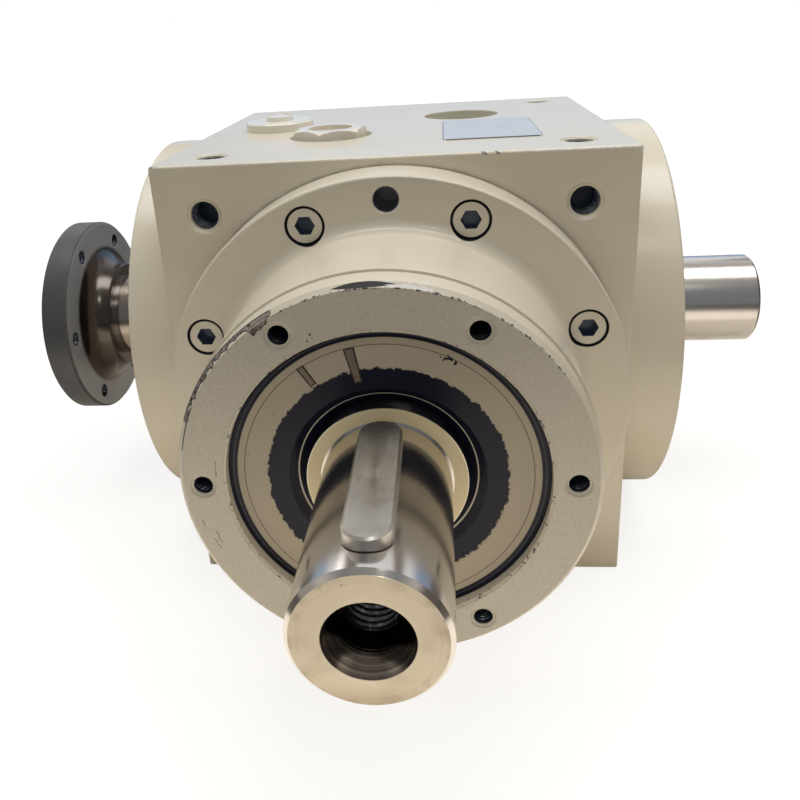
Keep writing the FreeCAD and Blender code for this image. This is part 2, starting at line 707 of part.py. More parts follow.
def hub():
    """Flanged hub with a flared neck, a keyed bore and a circle of tapped holes."""
    flange = HUB_FACE - HUB_FLANGE
    body = turned([
        (HUB_NECK_END, SHAFT_RADIUS),
        (HUB_NECK_END, HUB_NECK_RADIUS - HUB_NECK_EDGE),
        (HUB_NECK_END + HUB_NECK_EDGE, HUB_NECK_RADIUS),
        (flange, HUB_NECK_RADIUS),
        (flange, HUB_FLANGE_RADIUS - HUB_FLANGE_EDGE),
        (flange + HUB_FLANGE_EDGE, HUB_FLANGE_RADIUS),
        (HUB_FACE - HUB_FLANGE_EDGE, HUB_FLANGE_RADIUS),
        (HUB_FACE, HUB_FLANGE_RADIUS - HUB_FLANGE_EDGE),
        (HUB_FACE, SHAFT_RADIUS),
    ])
    body = body.makeFillet(HUB_FILLET, circle_edges(body, flange, HUB_NECK_RADIUS))
    hole_spots = spots(HUB_HOLE_CIRCLE, HUB_HOLE_COUNT, HUB_HOLE_TURN)
    cuts = holes(HUB_HOLE_RADIUS, HUB_HOLE_MOUTH, flange - OVERSHOOT, HUB_FACE, hole_spots)
    cuts += holes(HUB_HOLE_RADIUS, HUB_HOLE_MOUTH, HUB_FACE + OVERSHOOT, flange, hole_spots)
    rise = KEY_HEIGHT - KEY_SUNK + KEY_PLAY
    slot = keyway(SHAFT_RADIUS, rise, HUB_NECK_END - OVERSHOOT, HUB_FACE + OVERSHOOT)
    cuts.append(placed(slot, to_hub_key()))
    return body.cut(cuts)


# Bearings, seals, lock nut and tab washer

def bearing(back, out):
    """Cup, cone, rollers and cage of a taper bearing, its cone's back face at this place.

    The rollers narrow towards the back face of the cup, which lies the bearing's width further along,
    outwards or inwards as out is 1 or -1.
    """
    apex = ROLLER_MIDDLE + ROLLER_PITCH_RADIUS / math.tan(ROLLER_TILT)
    middle = ROLLER_PITCH_RADIUS / math.sin(ROLLER_TILT)
    half_angle = math.atan(ROLLER_RADIUS / middle)

    def along_cone(u, angle):
        return u, (apex - u) * math.tan(angle)

    def ring(outline):
        return turned([(back + out * u, radius) for u, radius in outline])

    cup_start = BEARING_WIDTH - CUP_WIDTH
    cup_angle = ROLLER_TILT + half_angle
    cup = ring([
        along_cone(cup_start, cup_angle),
        (cup_start, BEARING_OUTER),
        (BEARING_WIDTH, BEARING_OUTER),
        along_cone(BEARING_WIDTH, cup_angle),
    ])
    inner_angle = ROLLER_TILT - half_angle
    large_end = middle + ROLLER_LENGTH / 2
    small_end = middle - ROLLER_LENGTH / 2
    lean_in = 1 + math.tan(ROLLER_TILT) * math.tan(inner_angle)
    rib_foot = apex - (large_end + ROLLER_END_PLAY) / math.cos(ROLLER_TILT) / lean_in
    rib_top = rib_foot + (LARGE_RIB - along_cone(rib_foot, inner_angle)[1]) * math.tan(ROLLER_TILT)
    small_rib = apex - (small_end - ROLLER_END_PLAY) * math.cos(ROLLER_TILT)
    cone = ring([
        (0, BEARING_SEAT),
        (0, LARGE_RIB),
        (rib_top, LARGE_RIB),
        along_cone(rib_foot, inner_angle),
        along_cone(small_rib, inner_angle),
        (small_rib, SMALL_RIB),
        (BEARING_WIDTH, SMALL_RIB),
        (BEARING_WIDTH, BEARING_SEAT),
    ])
    foot = apex - small_end * math.cos(ROLLER_TILT)
    roller = Part.makeCone(
        ROLLER_RADIUS * small_end / middle - ROLLER_PLAY,
        ROLLER_RADIUS * large_end / middle - ROLLER_PLAY,
        ROLLER_LENGTH,
        FreeCAD.Vector(small_end * math.sin(ROLLER_TILT), 0, back + out * foot),
        FreeCAD.Vector(math.sin(ROLLER_TILT), 0, -out * math.cos(ROLLER_TILT)),
    )
    start, start_radius = along_cone(CAGE_START, ROLLER_TILT)
    end, end_radius = along_cone(CAGE_END, ROLLER_TILT)
    thick = CAGE_INSIDE + CAGE_THICKNESS
    cage = ring([
        (start, start_radius + CAGE_INSIDE),
        (start, start_radius + thick),
        (end, end_radius + thick),
        (end, end_radius + CAGE_INSIDE),
    ])
    half_width = ROLLER_RADIUS * large_end / middle + CAGE_PLAY
    length = ROLLER_LENGTH + 2 * CAGE_PLAY
    window = Part.makeBox(
        2 * half_width, 2 * half_width, length, FreeCAD.Vector(-half_width, -half_width, -length / 2)
    )
    lean = FreeCAD.Rotation(UP, -out * math.degrees(ROLLER_TILT))
    roller_middle = FreeCAD.Vector(ROLLER_PITCH_RADIUS, 0, back + out * ROLLER_MIDDLE)
    window.Placement = FreeCAD.Placement(roller_middle, lean)
    steps = [
        FreeCAD.Placement(ORIGIN, FreeCAD.Rotation(AXIS, 360.0 * i / ROLLER_COUNT))
        for i in range(ROLLER_COUNT)
    ]
    rollers = Part.makeCompound([placed(roller, step) for step in steps])
    return cup, cone, rollers, cage.cut([placed(window, step) for step in steps])


def seal(start, width, outer):
    """Shaft seal with an outer leg, a web at its outer face and a lip on the journal."""
    end = start + width
    web = end - SEAL_WEB
    lip = SEAL_JOURNAL + SEAL_PLAY
    neck = lip + SEAL_NECK
    return turned([
        (start, outer - SEAL_LEG),
        (start, outer),
        (end, outer),
        (end, neck),
        (web, lip + SEAL_LIP_MOUTH),
        (web - SEAL_LIP_START, lip),
        (web - SEAL_LIP_END, lip),
        (web - SEAL_LIP_TAIL, lip + SEAL_LIP_BACK),
        (web - SEAL_LIP_TAIL, neck),
        (web, neck + SEAL_LIP_MOUTH),
        (web, outer - SEAL_LEG),
    ])


def lock_nut():
    """Slotted nut that clamps the front bearings."""
    start = OUTER_CONE_BACK + WASHER_THICKNESS
    end = start + NUT_WIDTH
    body = turned([
        (start, BEARING_SEAT),
        (start, NUT_RADIUS),
        (end - NUT_CHAMFER, NUT_RADIUS),
        (end, NUT_RADIUS - NUT_CHAMFER),
        (end, BEARING_SEAT),
    ])
    slot = Part.makeBox(
        NUT_SLOT_WIDTH, NUT_SLOT_DEPTH + OVERSHOOT, NUT_WIDTH + 2 * OVERSHOOT,
        FreeCAD.Vector(-NUT_SLOT_WIDTH / 2, NUT_RADIUS - NUT_SLOT_DEPTH, start - OVERSHOOT),
    )
    quarter_turns = [FreeCAD.Placement(ORIGIN, FreeCAD.Rotation(AXIS, 90.0 * i)) for i in range(4)]
    return body.cut([placed(slot, turn) for turn in quarter_turns])


def lock_washer():
    """Tab washer under the nut: an inner tongue in the shaft's groove and one tab bent into a nut slot."""
    start = OUTER_CONE_BACK
    end = start + WASHER_THICKNESS
    inner, outer = BEARING_SEAT, WASHER_RADIUS
    ring = turned([(start, inner), (start, outer), (end, outer), (end, inner)])
    half = TAB_WIDTH / 2
    reach = TAB_GROOVE_DEPTH - KEY_PLAY
    tongue = Part.makeBox(
        TAB_WIDTH, reach + OVERSHOOT, WASHER_THICKNESS, FreeCAD.Vector(-half, BEARING_SEAT - reach, start)
    )
    tab_low = NUT_RADIUS - NUT_SLOT_DEPTH + KEY_PLAY
    tab = Part.makeBox(
        TAB_WIDTH, WASHER_THICKNESS, WASHER_THICKNESS + NUT_WIDTH / 2, FreeCAD.Vector(-half, tab_low, start)
    )
    return ring.multiFuse([tongue, tab]).removeSplitter()


# All pieces

def main():
    """Builds every piece and writes it to a file of its own."""
    os.makedirs("parts", exist_ok=True)
    front_face = HALF + SHIM + FRONT_FLANGE
    side_face = HALF + SHIM + SIDE_FLANGE

    write("housing", housing(), TOP)
    write("sight_body", moved_to(sight_body(), -PORT_X, -PORT_Y), TOP)
    write("sight_glass", moved_to(sight_glass(), -PORT_X, -PORT_Y), TOP)
    write("sunk_plug", moved_to(sunk_plug(), PORT_X, PORT_Y), TOP)
    write("breather", moved_to(breather(), BREATHER_X, BREATHER_Y), TOP)

    write("front_carrier", front_carrier(), FRONT)
    write("front_shim", shim(), FRONT)
    write("front_screws", cap_screws(front_face), FRONT)
    seal_start = NOSE_FACE - FRONT_SEAL_RECESS - FRONT_SEAL_WIDTH
    write("front_seal", seal(seal_start, FRONT_SEAL_WIDTH, NOSE_BORE), FRONT)
    for side, frame in (("right", RIGHT), ("left", LEFT)):
        write(side + "_cover", side_cover(), frame)
        write(side + "_shim", shim(), frame)
        write(side + "_screws", cap_screws(side_face), frame)
        seal_start = CONE_BACK + BEARING_WIDTH + SIDE_LIP_WIDTH
        write(side + "_seal", seal(seal_start, SIDE_SEAL_WIDTH, SIDE_SEAL_RADIUS), frame)

    write("front_shaft", front_shaft(), FRONT)
    write("front_key", front_key(), FRONT)
    write("lock_nut", lock_nut(), FRONT)
    write("lock_washer", lock_washer(), FRONT)
    write("cross_shaft", cross_shaft(), RIGHT)
    write("bevel_gear", bevel_gear(), RIGHT)
    write("gear_key", gear_key(), RIGHT)
    write("hub", hub(), LEFT)
    write("hub_key", hub_key(), LEFT)

    bearings = (
        ("inner", FRONT, CONE_BACK, 1),
        ("outer", FRONT, OUTER_CONE_BACK, -1),
        ("right", RIGHT, CONE_BACK, 1),
        ("left", LEFT, CONE_BACK, 1),
    )
    for name, frame, back, out in bearings:
        pieces = bearing(back, out)
        for piece, shape in zip(("cup", "cone", "rollers", "cage"), pieces):
            write(name + "_" + piece, shape, frame)


main()
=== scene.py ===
"""Looks of the right angle gearbox: finishes for its solids, threads, a blank label, studio and camera.

Objects are in metres, in the frame of the solids. Finishes measure in millimetres from the point where the
two shaft axes meet, so that a mark keeps its place on the piece when the piece turns.
"""
import itertools
import math

import bmesh
import bpy
from mathutils import Matrix, Vector


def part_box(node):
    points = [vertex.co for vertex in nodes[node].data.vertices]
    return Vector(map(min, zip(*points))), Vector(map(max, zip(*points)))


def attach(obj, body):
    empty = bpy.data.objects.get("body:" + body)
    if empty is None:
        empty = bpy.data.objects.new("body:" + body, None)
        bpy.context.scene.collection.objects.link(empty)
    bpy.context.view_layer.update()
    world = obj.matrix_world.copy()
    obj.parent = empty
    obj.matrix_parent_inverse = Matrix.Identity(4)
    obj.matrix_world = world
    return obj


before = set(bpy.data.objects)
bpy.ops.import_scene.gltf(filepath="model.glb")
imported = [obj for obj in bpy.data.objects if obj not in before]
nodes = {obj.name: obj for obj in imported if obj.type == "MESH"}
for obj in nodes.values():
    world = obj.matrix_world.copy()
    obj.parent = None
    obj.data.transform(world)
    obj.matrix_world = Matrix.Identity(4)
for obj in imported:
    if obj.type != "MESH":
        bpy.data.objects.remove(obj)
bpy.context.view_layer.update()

MM = 0.001

# Sizes of the gearbox, in millimetres from the crossing of the axes
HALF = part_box("housing")[1].x / MM
NOSE_FACE = -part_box("front_carrier")[0].y / MM
SEAL_FACE = -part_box("front_seal")[0].y / MM
FRONT_END = -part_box("front_shaft")[0].y / MM
SCREW_SINK = 0.3
FRONT_FACE = -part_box("front_screws")[0].y / MM + SCREW_SINK
SIDE_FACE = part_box("right_cover")[1].x / MM
RIGHT_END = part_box("cross_shaft")[1].x / MM
LEFT_END = -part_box("cross_shaft")[0].x / MM
HUB_FACE = -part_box("hub")[0].x / MM
GLASS_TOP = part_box("sight_glass")[1].z / MM - HALF
FLANGE_RADIUS = 67.5
FLANGE_ROUND = 1.0

# Nose of the front carrier, bore of the side covers, and the rings that the holes of the flanges lie in
RING_EDGE = 50.8
NOSE_BORE = 40.0
NOSE_LENGTH = 31.0
NOSE_MOUTH = (3.7, 2.6)
NOSE_HOLE_RING = (42.6, 49.4)
FRONT_HOLE_RING = (53.8, 65.4)
SIDE_HOLE_RING = (53.4, 65.4)
SIDE_BORE = 31.5

# Sizes of the holes that get a thread
CORNER_HOLE_OFFSET = 55.0
CORNER_HOLE_RADIUS = 4.25
CORNER_HOLE_MOUTH = 5.6
CORNER_PAINT_DEPTH = 2.0
NOSE_HOLE_CIRCLE = 46.0
NOSE_HOLE_COUNT = 6
HUB_HOLE_CIRCLE = 31.5
HUB_HOLE_COUNT = 6
HUB_HOLE_TURN = 3.0
HUB_FLANGE = 9.7
M6_CORE = 2.5
CENTRE_RADIUS = 6.0
CENTRE_MOUTH = 9.05
CENTRE_CONE = 4.4
CENTRE_RELIEF = 9.5
CENTRE_RELIEF_RADIUS = 6.8
CENTRE_DEPTH = 34.0

# Threads: radius of the hole, height of the ridge and pitch, then the depths between which they run
M10_THREAD = (CORNER_HOLE_RADIUS, 0.45, 1.5)
M6_THREAD = (M6_CORE, 0.3, 1.0)
M12_THREAD = (CENTRE_RADIUS, 0.85, 1.75)
CORNER_THREAD_RUN = (CORNER_PAINT_DEPTH, 9.8)
NOSE_THREAD_RUN = (0.8, 10.0)
HUB_THREAD_RUN = (0.4, HUB_FLANGE - 0.4)
CENTRE_THREAD_RUN = (CENTRE_RELIEF + 0.1, CENTRE_DEPTH - 0.2)

# Screws of the flanges, and the gap round their heads
SCREW_CIRCLE = 59.0
SCREW_TURN = 22.5
GAP_INNER = 4.85
GAP_OUTER = 5.55

# Shafts and hub
SHAFT_RADIUS = 16.0
SHAFT_CHAMFER = 1.0
FRONT_SHOULDER = 126.5
SHOULDER_RADIUS = 20.0
RUBBED_RADII = (12.0, 15.5)
SHADED_BELOW = (-9.0, -15.0)
TURNING_SHARE = 0.77
HUB_NECK = 28.5
HUB_INNER_EDGE = 36.75
HUB_INNER_END = 112.0

# Sight glass on the top face
SIGHT_X = -22.5
SIGHT_Y = -21.0
SIGHT_DISH = 7.6

# Ports on the top face: the square that they lie in, and the depth that is painted
PORT_REACH = 39.0
PORT_DEPTH = 4.5

# Label plate on the top face
LABEL_X = (15.5, 46.0)
LABEL_Y = (-45.0, 1.5)
LABEL_CORNER = 2.0
LABEL_THICKNESS = 0.35
LABEL_EDGE = 0.12
LABEL_LINE = (0.35, 0.2)
LABEL_CORNER_PARTS = 6

# Wear of the housing: reach and fade from its edges, then nicks in the front top edge as place and reach,
# each drawn as painted shade beside a painted highlight; then the run of white specks along that edge
EDGE_REACH = 3.0
EDGE_WEAR = (1.3, 0.1)
NICKS = ((27.7, 1.2), (31.1, 0.85))
NICK_SLANT = 0.9
WHITE_SPECK_RUN = (42.0, 69.0)

# Marks of wear on the nose, and a painted highlight: angles in degrees about the front axis, and radii
STRIP_TURN = (119.0, 159.0)
STRIP_BLACK = ((53.1, 53.2), (52.1, 51.95))
STRIP_BARE = ((53.35, 53.45), (51.9, 51.75))
PATCH_TURN = (120.5, 125.5)
THIN_TURN = (155.0, 168.0)
THIN_RADII = (50.75, 51.0)
DARK_MIDDLE = 93.0
DARK_HALF_TURN = 8.6
DARK_RADIUS = 51.4
DARK_HALF_WIDTH = 0.62
FLAKE_TURN = (75.0, 88.0)
FLAKE_RADII = (50.6, 52.0)
GLEAM_TURN = (77.0, 86.0)
GLEAM_RADII = (50.95, 51.3)
EDGE_SPECK_TURN = (35.0, 118.0)
EDGE_SPECK_RADII = (50.6, 50.95)
FACE_SPECK_TURN = (111.0, 113.0)
FACE_SPECK_RADII = (41.5, 43.0)
SCRATCHES = ((171.0, 176.0, 43.1), (-163.0, -159.0, 47.0), (-160.5, -157.0, 48.1), (-168.0, -166.0, 49.4))
SCRATCH_WIDTH = 0.15

# Face of the front seal: ribs as first and last angle, inner and outer radius; then flakes, paint and rings,
# the last ring a painted highlight
SEAL_RIBS = ((100.0, 104.0, 26.8, 35.7), (121.0, 124.0, 30.5, 36.0))
SEAL_FLAKE_TURN = (61.0, 67.0)
SEAL_FLAKE_RADII = (34.5, 36.4)
SEAL_PAINT_INNER = (31.2, 31.6)
SEAL_PAINT_OUTER = (37.8, 37.6)
SEAL_SCRATCH = (35.85, 35.95)
SEAL_LINE = (38.6, 38.8)
SEAL_HIGHLIGHT_ARC = (22.3, 22.55)

# Colours, linear
CREAM = (0.77, 0.712, 0.585)
CREAM_WARM = (0.75, 0.68, 0.545)
CREAM_DARKER = (0.66, 0.61, 0.505)
PEBBLE_SHADE = (0.52, 0.475, 0.385)
CREAM_YELLOW = (0.88, 0.75, 0.47)
SEAL_CREAM_SHADED = (0.52, 0.455, 0.345)
FLAKE_AND_HIGHLIGHT_WHITE = (0.93, 0.92, 0.88)
DIRT_AND_SHADE = (0.16, 0.12, 0.075)
BARE_METAL = (0.24, 0.21, 0.19)
CHIP_RIM_AND_SHADE = (0.018, 0.017, 0.017)
HOLE_DARK = (0.045, 0.070, 0.130)
STEEL = (0.80, 0.77, 0.74)
STAINED_STEEL = (0.40, 0.34, 0.28)
KEY_STEEL = (0.68, 0.66, 0.62)
END_FACE = (0.72, 0.655, 0.535)
GUN_METAL = (0.090, 0.094, 0.104)
RUBBER = (0.004, 0.006, 0.020)
SUNK_SHADE = (0.42, 0.44, 0.37)
SCRATCHED_METAL = (0.40, 0.35, 0.32)
FITTING_WHITE = (0.87, 0.85, 0.78)
DISH_TAN_LIT = (0.88, 0.78, 0.63)
FACE_SCRATCH = (0.52, 0.45, 0.34)
FACE_SMUDGE = (0.36, 0.29, 0.21)
FACE_RUBBED = (0.30, 0.23, 0.16)
FACE_LOWER_SHADE = (0.38, 0.30, 0.21)
FACE_PIT = (0.14, 0.11, 0.08)
CONE_DARK = (0.16, 0.135, 0.115)
CONE_LIGHT = (0.36, 0.32, 0.285)
RELIEF_SHADE = (0.035, 0.032, 0.03)
LIP_HIGHLIGHT = (0.85, 0.82, 0.78)
HUB_GAP_SHADE = (0.30, 0.245, 0.185)
KEY_DULL = (0.33, 0.305, 0.27)
KEY_SCUFF = (0.66, 0.64, 0.60)
HANDLED = (0.12, 0.117, 0.115)
HUB_INNER = (0.39, 0.41, 0.445)
NECK_BROWN = (0.11, 0.096, 0.087)
DARK_SPECK = (0.18, 0.17, 0.16)
DUST = (0.10, 0.09, 0.08)
RIB_BROWN = (0.25, 0.20, 0.155)
RUBBER_WORN = (0.06, 0.065, 0.08)
GLASS_BROWN = (0.86, 0.79, 0.66)
LABEL_BLUE = (0.58, 0.60, 0.62)
LABEL_DIM = (0.53, 0.55, 0.57)
LABEL_RIM = (0.10, 0.11, 0.13)
SHIM_STEEL = (0.40, 0.38, 0.35)
BEARING_STEEL = (0.62, 0.62, 0.63)
CAGE_STEEL = (0.42, 0.40, 0.36)
GEAR_STEEL = (0.48, 0.48, 0.49)

# Threads: colour of the cut, and of the crests; the corner holes get a lighter copy as painted light, the
# nose and hub holes a darker copy as painted shade
LIT_THREAD = ((0.34, 0.38, 0.46), (0.70, 0.68, 0.65))
SHADED_THREAD = ((0.10, 0.12, 0.17), (0.30, 0.30, 0.31))
CENTRE_THREAD = ((0.20, 0.205, 0.215), (0.52, 0.50, 0.47))

# The Mix node's first socket and its output for each type of value
MIX_FIRST = {"FLOAT": 2, "VECTOR": 4, "RGBA": 6}
MIX_OUTPUT = {"FLOAT": 0, "VECTOR": 1, "RGBA": 2}


class Nodes:
    """A tree of shader nodes, with short ways to add to it."""

    def __init__(self, tree):
        self.tree = tree

    def feed(self, socket, value):
        """Links a socket to another, or sets it to a constant."""
        if isinstance(value, bpy.types.NodeSocket):
            self.tree.links.new(value, socket)
        elif socket.type == "RGBA":
            socket.default_value = (*value, 1.0)
        else:
            socket.default_value = value

    def add(self, kind, inputs, output=0, **settings):
        """Adds a node and gives back one of its outputs."""
        node = self.tree.nodes.new("ShaderNode" + kind)
        for name, value in settings.items():
            setattr(node, name, value)
        for key, value in inputs.items():
            self.feed(node.inputs[key], value)
        return node.outputs[output]

    def split(self, vector):
        """The three parts of a vector."""
        node = self.tree.nodes.new("ShaderNodeSeparateXYZ")
        self.feed(node.inputs[0], vector)
        return node.outputs

    def calc(self, operation, *values):
        """One sum of numbers."""
        return self.add("Math", dict(enumerate(values)), operation=operation)

    def flip(self, mask):
        """Where the mask doesn't hold."""
        return self.calc("SUBTRACT", 1.0, mask)

    def weak(self, mask, share):
        """A mask of less strength."""
        return self.calc("MULTIPLY", mask, share)

    def step(self, value, start, end):
        """Goes smoothly from 0 at start to 1 at end."""
        inputs = {"Value": value, "From Min": start, "From Max": end}
        return self.add("MapRange", inputs, interpolation_type="SMOOTHSTEP")

    def band(self, value, low, high, soft):
        """Is 1 between low and high, and fades to 0 over the soft width outside them."""
        rise = self.step(value, low - soft, low)
        fall = self.step(value, high + soft, high)
        return self.calc("MULTIPLY", rise, fall)

    def gather(self, operation, values):
        """One sum over all the values in turn."""
        result = values[0]
        for value in values[1:]:
            result = self.calc(operation, result, value)
        return result

    def both(self, *masks):
        """Where all masks hold."""
        return self.gather("MULTIPLY", masks)

    def either(self, *masks):
        """Where any mask holds."""
        return self.gather("MAXIMUM", masks)

    def patch(self, *ranges):
        """Where values lie in their ranges; each is a value, its low and high limit and a soft width."""
        return self.both(*[self.band(value, *limits, soft) for value, limits, soft in ranges])

    def least(self, *values):
        """The smallest of some numbers."""
        return self.gather("MINIMUM", values)

    def mix(self, data_type, mask, low, high):
        """Goes from low to high with the mask, for one type of value."""
        first = MIX_FIRST[data_type]
        inputs = {0: mask, first: low, first + 1: high}
        return self.add("Mix", inputs, MIX_OUTPUT[data_type], data_type=data_type)

    def mixed(self, mask, low, high):
        """A number that goes from low to high with the mask."""
        return self.mix("FLOAT", mask, low, high)

    def tinted(self, mask, low, high):
        """A colour that goes from low to high with the mask."""
        return self.mix("RGBA", mask, low, high)


class Finish(Nodes):
    """A material whose colour, metal, roughness and height are built up in layers over one shader."""

    def __init__(self, name, colour, metal, rough, sockets=None):
        self.material = bpy.data.materials.new(name)
        self.material.use_nodes = True
        super().__init__(self.material.node_tree)
        self.shader = self.tree.nodes["Principled BSDF"]
        self.colour = colour
        self.metal = metal
        self.rough = rough
        self.height = None
        self.normal = None
        for socket, value in (sockets or {}).items():
            self.shader.inputs[socket].default_value = value
        place = self.add("TexCoord", {}, output="Object")
        centre = (0.0, 0.0, -HALF)
        scale = (1 / MM, 1 / MM, 1 / MM)
        self.at = self.add("VectorMath", {0: place, 1: scale, 2: centre}, operation="MULTIPLY_ADD")
        self.x, self.y, self.z = self.split(self.at)

    def noise(self, scale, detail=2.0, at=None, rough=0.5):
        """Noise with this many features for each millimetre."""
        vector = self.at if at is None else at
        inputs = {"Vector": vector, "Scale": scale, "Detail": detail, "Roughness": rough}
        return self.add("TexNoise", inputs)

    def lines(self, value, scale, detail=3.0):
        """Noise that changes only with one value, as the lines of turning or grinding do."""
        row = self.add("CombineXYZ", {0: value})
        return self.noise(scale, detail, row)

    def cover(self, mask, colour=None, metal=None, rough=None):
        """Lays a finish over the one below, where the mask says."""
        if colour is not None:
            self.colour = self.tinted(mask, self.colour, colour)
        if metal is not None:
            self.metal = self.mixed(mask, self.metal, metal)
        if rough is not None:
            self.rough = self.mixed(mask, self.rough, rough)

    def relief(self, value, millimetres):
        """Adds to the surface's height."""
        height = self.calc("MULTIPLY", value, millimetres)
        self.height = height if self.height is None else self.calc("ADD", self.height, height)

    def radius(self, keep, centre=(0.0, 0.0, 0.0), at=None):
        """Distance from a centre in the plane of the kept axes."""
        vector = self.at if at is None else at
        away = self.add("VectorMath", {0: vector, 1: centre}, operation="SUBTRACT")
        flat = self.add("VectorMath", {0: away, 1: keep}, operation="MULTIPLY")
        return self.add("VectorMath", {0: flat}, output="Value", operation="LENGTH")

    def about_front(self):
        """Distance along the front shaft's axis, radius and angle in degrees about it."""
        angle = self.calc("DEGREES", self.calc("ARCTAN2", self.z, self.x))
        return self.calc("MULTIPLY", self.y, -1.0), self.radius((1, 0, 1)), angle

    def about_cross(self):
        """Distance along the cross shaft's axis, from the middle to either side, and radius about it."""
        return self.calc("ABSOLUTE", self.x), self.radius((0, 1, 1))

    def smooth_rim(self, flat, along, radius, face):
        """Shades flat faces by their plane and a front flange's rim by its true curve, free of facets."""
        shape = self.tree.nodes.new("ShaderNodeNewGeometry").outputs
        plane = self.mix("VECTOR", flat, shape["Normal"], shape["True Normal"])
        inner = FLANGE_RADIUS - FLANGE_ROUND
        outward = self.calc("MAXIMUM", self.calc("SUBTRACT", radius, inner), 0.0)
        # Never 0, so that the curve has a direction everywhere
        floor = 0.001
        forward = self.calc("MAXIMUM", self.calc("SUBTRACT", along, face - FLANGE_ROUND), floor)
        share = self.calc("DIVIDE", outward, radius)
        sides = {0: self.calc("MULTIPLY", self.x, share), 2: self.calc("MULTIPLY", self.z, share)}
        sides[1] = self.calc("MULTIPLY", forward, -1.0)
        curve = self.add("VectorMath", {0: self.add("CombineXYZ", sides)}, operation="NORMALIZE")
        turn = {"vector_type": "NORMAL", "convert_from": "OBJECT", "convert_to": "WORLD"}
        curve = self.add("VectorTransform", {0: curve}, **turn)
        self.normal = self.mix("VECTOR", self.step(radius, inner - 0.06, inner), plane, curve)

    def nearest(self, spots):
        """Distance from the nearest of some axes or their mirror images; a spot is kept axes and centre."""
        folded = self.add("VectorMath", {0: self.at}, operation="ABSOLUTE")
        return self.least(*[self.radius(keep, centre, folded) for keep, centre in spots])

    def from_corner_hole(self):
        """Distance from the axis of the nearest corner hole of any face of the housing."""
        centre = (CORNER_HOLE_OFFSET, CORNER_HOLE_OFFSET, CORNER_HOLE_OFFSET)
        return self.nearest([(keep, centre) for keep in ((0, 1, 1), (1, 0, 1), (1, 1, 0))])

    def from_nose_hole(self):
        """Distance from the axis of the nearest hole in the nose's ring face."""
        turn = math.radians(360.0 / NOSE_HOLE_COUNT)
        level = (NOSE_HOLE_CIRCLE, 0.0, 0.0)
        raised = (NOSE_HOLE_CIRCLE * math.cos(turn), 0.0, NOSE_HOLE_CIRCLE * math.sin(turn))
        return self.nearest([((1, 0, 1), level), ((1, 0, 1), raised)])

    def from_screw(self, cross):
        """Distance from the axis of the nearest flange screw, of the side or the front flanges."""
        near = SCREW_CIRCLE * math.sin(math.radians(SCREW_TURN))
        far = SCREW_CIRCLE * math.cos(math.radians(SCREW_TURN))
        if cross:
            return self.nearest([((0, 1, 1), (0.0, near, far)), ((0, 1, 1), (0.0, far, near))])
        return self.nearest([((1, 0, 1), (near, 0.0, far)), ((1, 0, 1), (far, 0.0, near))])

    def done(self):
        """Joins the layers to the shader and gives back the material."""
        self.feed(self.shader.inputs["Base Color"], self.colour)
        self.feed(self.shader.inputs["Metallic"], self.metal)
        self.feed(self.shader.inputs["Roughness"], self.rough)
        if self.height is not None:
            inputs = {"Height": self.height, "Strength": 1.0, "Distance": MM}
            if self.normal is not None:
                inputs["Normal"] = self.normal
            bump = self.add("Bump", inputs)
            self.feed(self.shader.inputs["Normal"], bump)
            self.feed(self.shader.inputs["Coat Normal"], bump)
        return self.material


# Paint

def cream_paint(name):
    """Glossy cream paint with a faint orange peel, mottling and a few specks of dirt."""
    paint = Finish(name, CREAM, 0.0, 0.4, {"Coat Weight": 0.6, "Coat Roughness": 0.17})
    paint.cover(paint.step(paint.noise(0.03, 4.0), 0.35, 0.75), colour=CREAM_WARM)
    paint.rough = paint.mixed(paint.noise(0.2, 3.0), 0.36, 0.52)
    paint.relief(paint.noise(0.6, 2.0), 0.007)
    paint.relief(paint.noise(2.5, 2.0), 0.002)
    specks = paint.step(paint.noise(0.9, 5.0, rough=0.7), 0.75, 0.79)
    paint.cover(specks, colour=DIRT_AND_SHADE, rough=0.7)
    return paint


def chip(paint, zone, scale):
    """Breaks the paint away in ragged patches inside a zone, down to dull metal with a dark rim."""
    ragged = paint.noise(scale, 5.0, rough=0.65)
    level = paint.calc("MULTIPLY_ADD", zone, 0.5, ragged)
    paint.cover(paint.step(level, 0.80, 0.83), colour=CHIP_RIM_AND_SHADE, rough=0.6)
    paint.cover(paint.step(level, 0.85, 0.87), colour=BARE_METAL, metal=0.7, rough=0.38)
    paint.relief(paint.step(level, 0.80, 0.84), -0.06)


def bare_hole_in_shade(paint, inside):
    """Oiled bare metal on the walls of the holes, darkened to navy as painted shade."""
    paint.cover(inside, colour=HOLE_DARK, metal=0.4, rough=0.3)


def edge_marks(paint, front_top):
    """Two nicks in the front top edge, each painted shade beside a painted highlight, and a run of white
    specks towards its right end.
    """
    rise = paint.calc("MULTIPLY_ADD", paint.z, NICK_SLANT, -NICK_SLANT * HALF)
    slant = paint.calc("ADD", paint.calc("MULTIPLY_ADD", paint.noise(1.1, 3.0), 0.9, paint.x), rise)
    for place, reach in NICKS:
        # Each nick: a band of painted shade, then a band of painted highlight beside it
        shade = paint.band(slant, place - reach, place, 0.15)
        paint.cover(paint.both(front_top, shade), colour=CHIP_RIM_AND_SHADE, rough=0.6)
        bright = paint.band(slant, place + 0.2, place + 0.5 * reach, 0.15)
        paint.cover(paint.both(front_top, bright), colour=FLAKE_AND_HIGHLIGHT_WHITE, rough=0.2)
    # White specks along the edge, towards its right end
    grains = paint.step(paint.noise(1.3, 3.0), 0.47, 0.52)
    flakes = paint.both(front_top, paint.band(paint.x, *WHITE_SPECK_RUN, 3.0), grains)
    paint.cover(flakes, colour=FLAKE_AND_HIGHLIGHT_WHITE, rough=0.2)


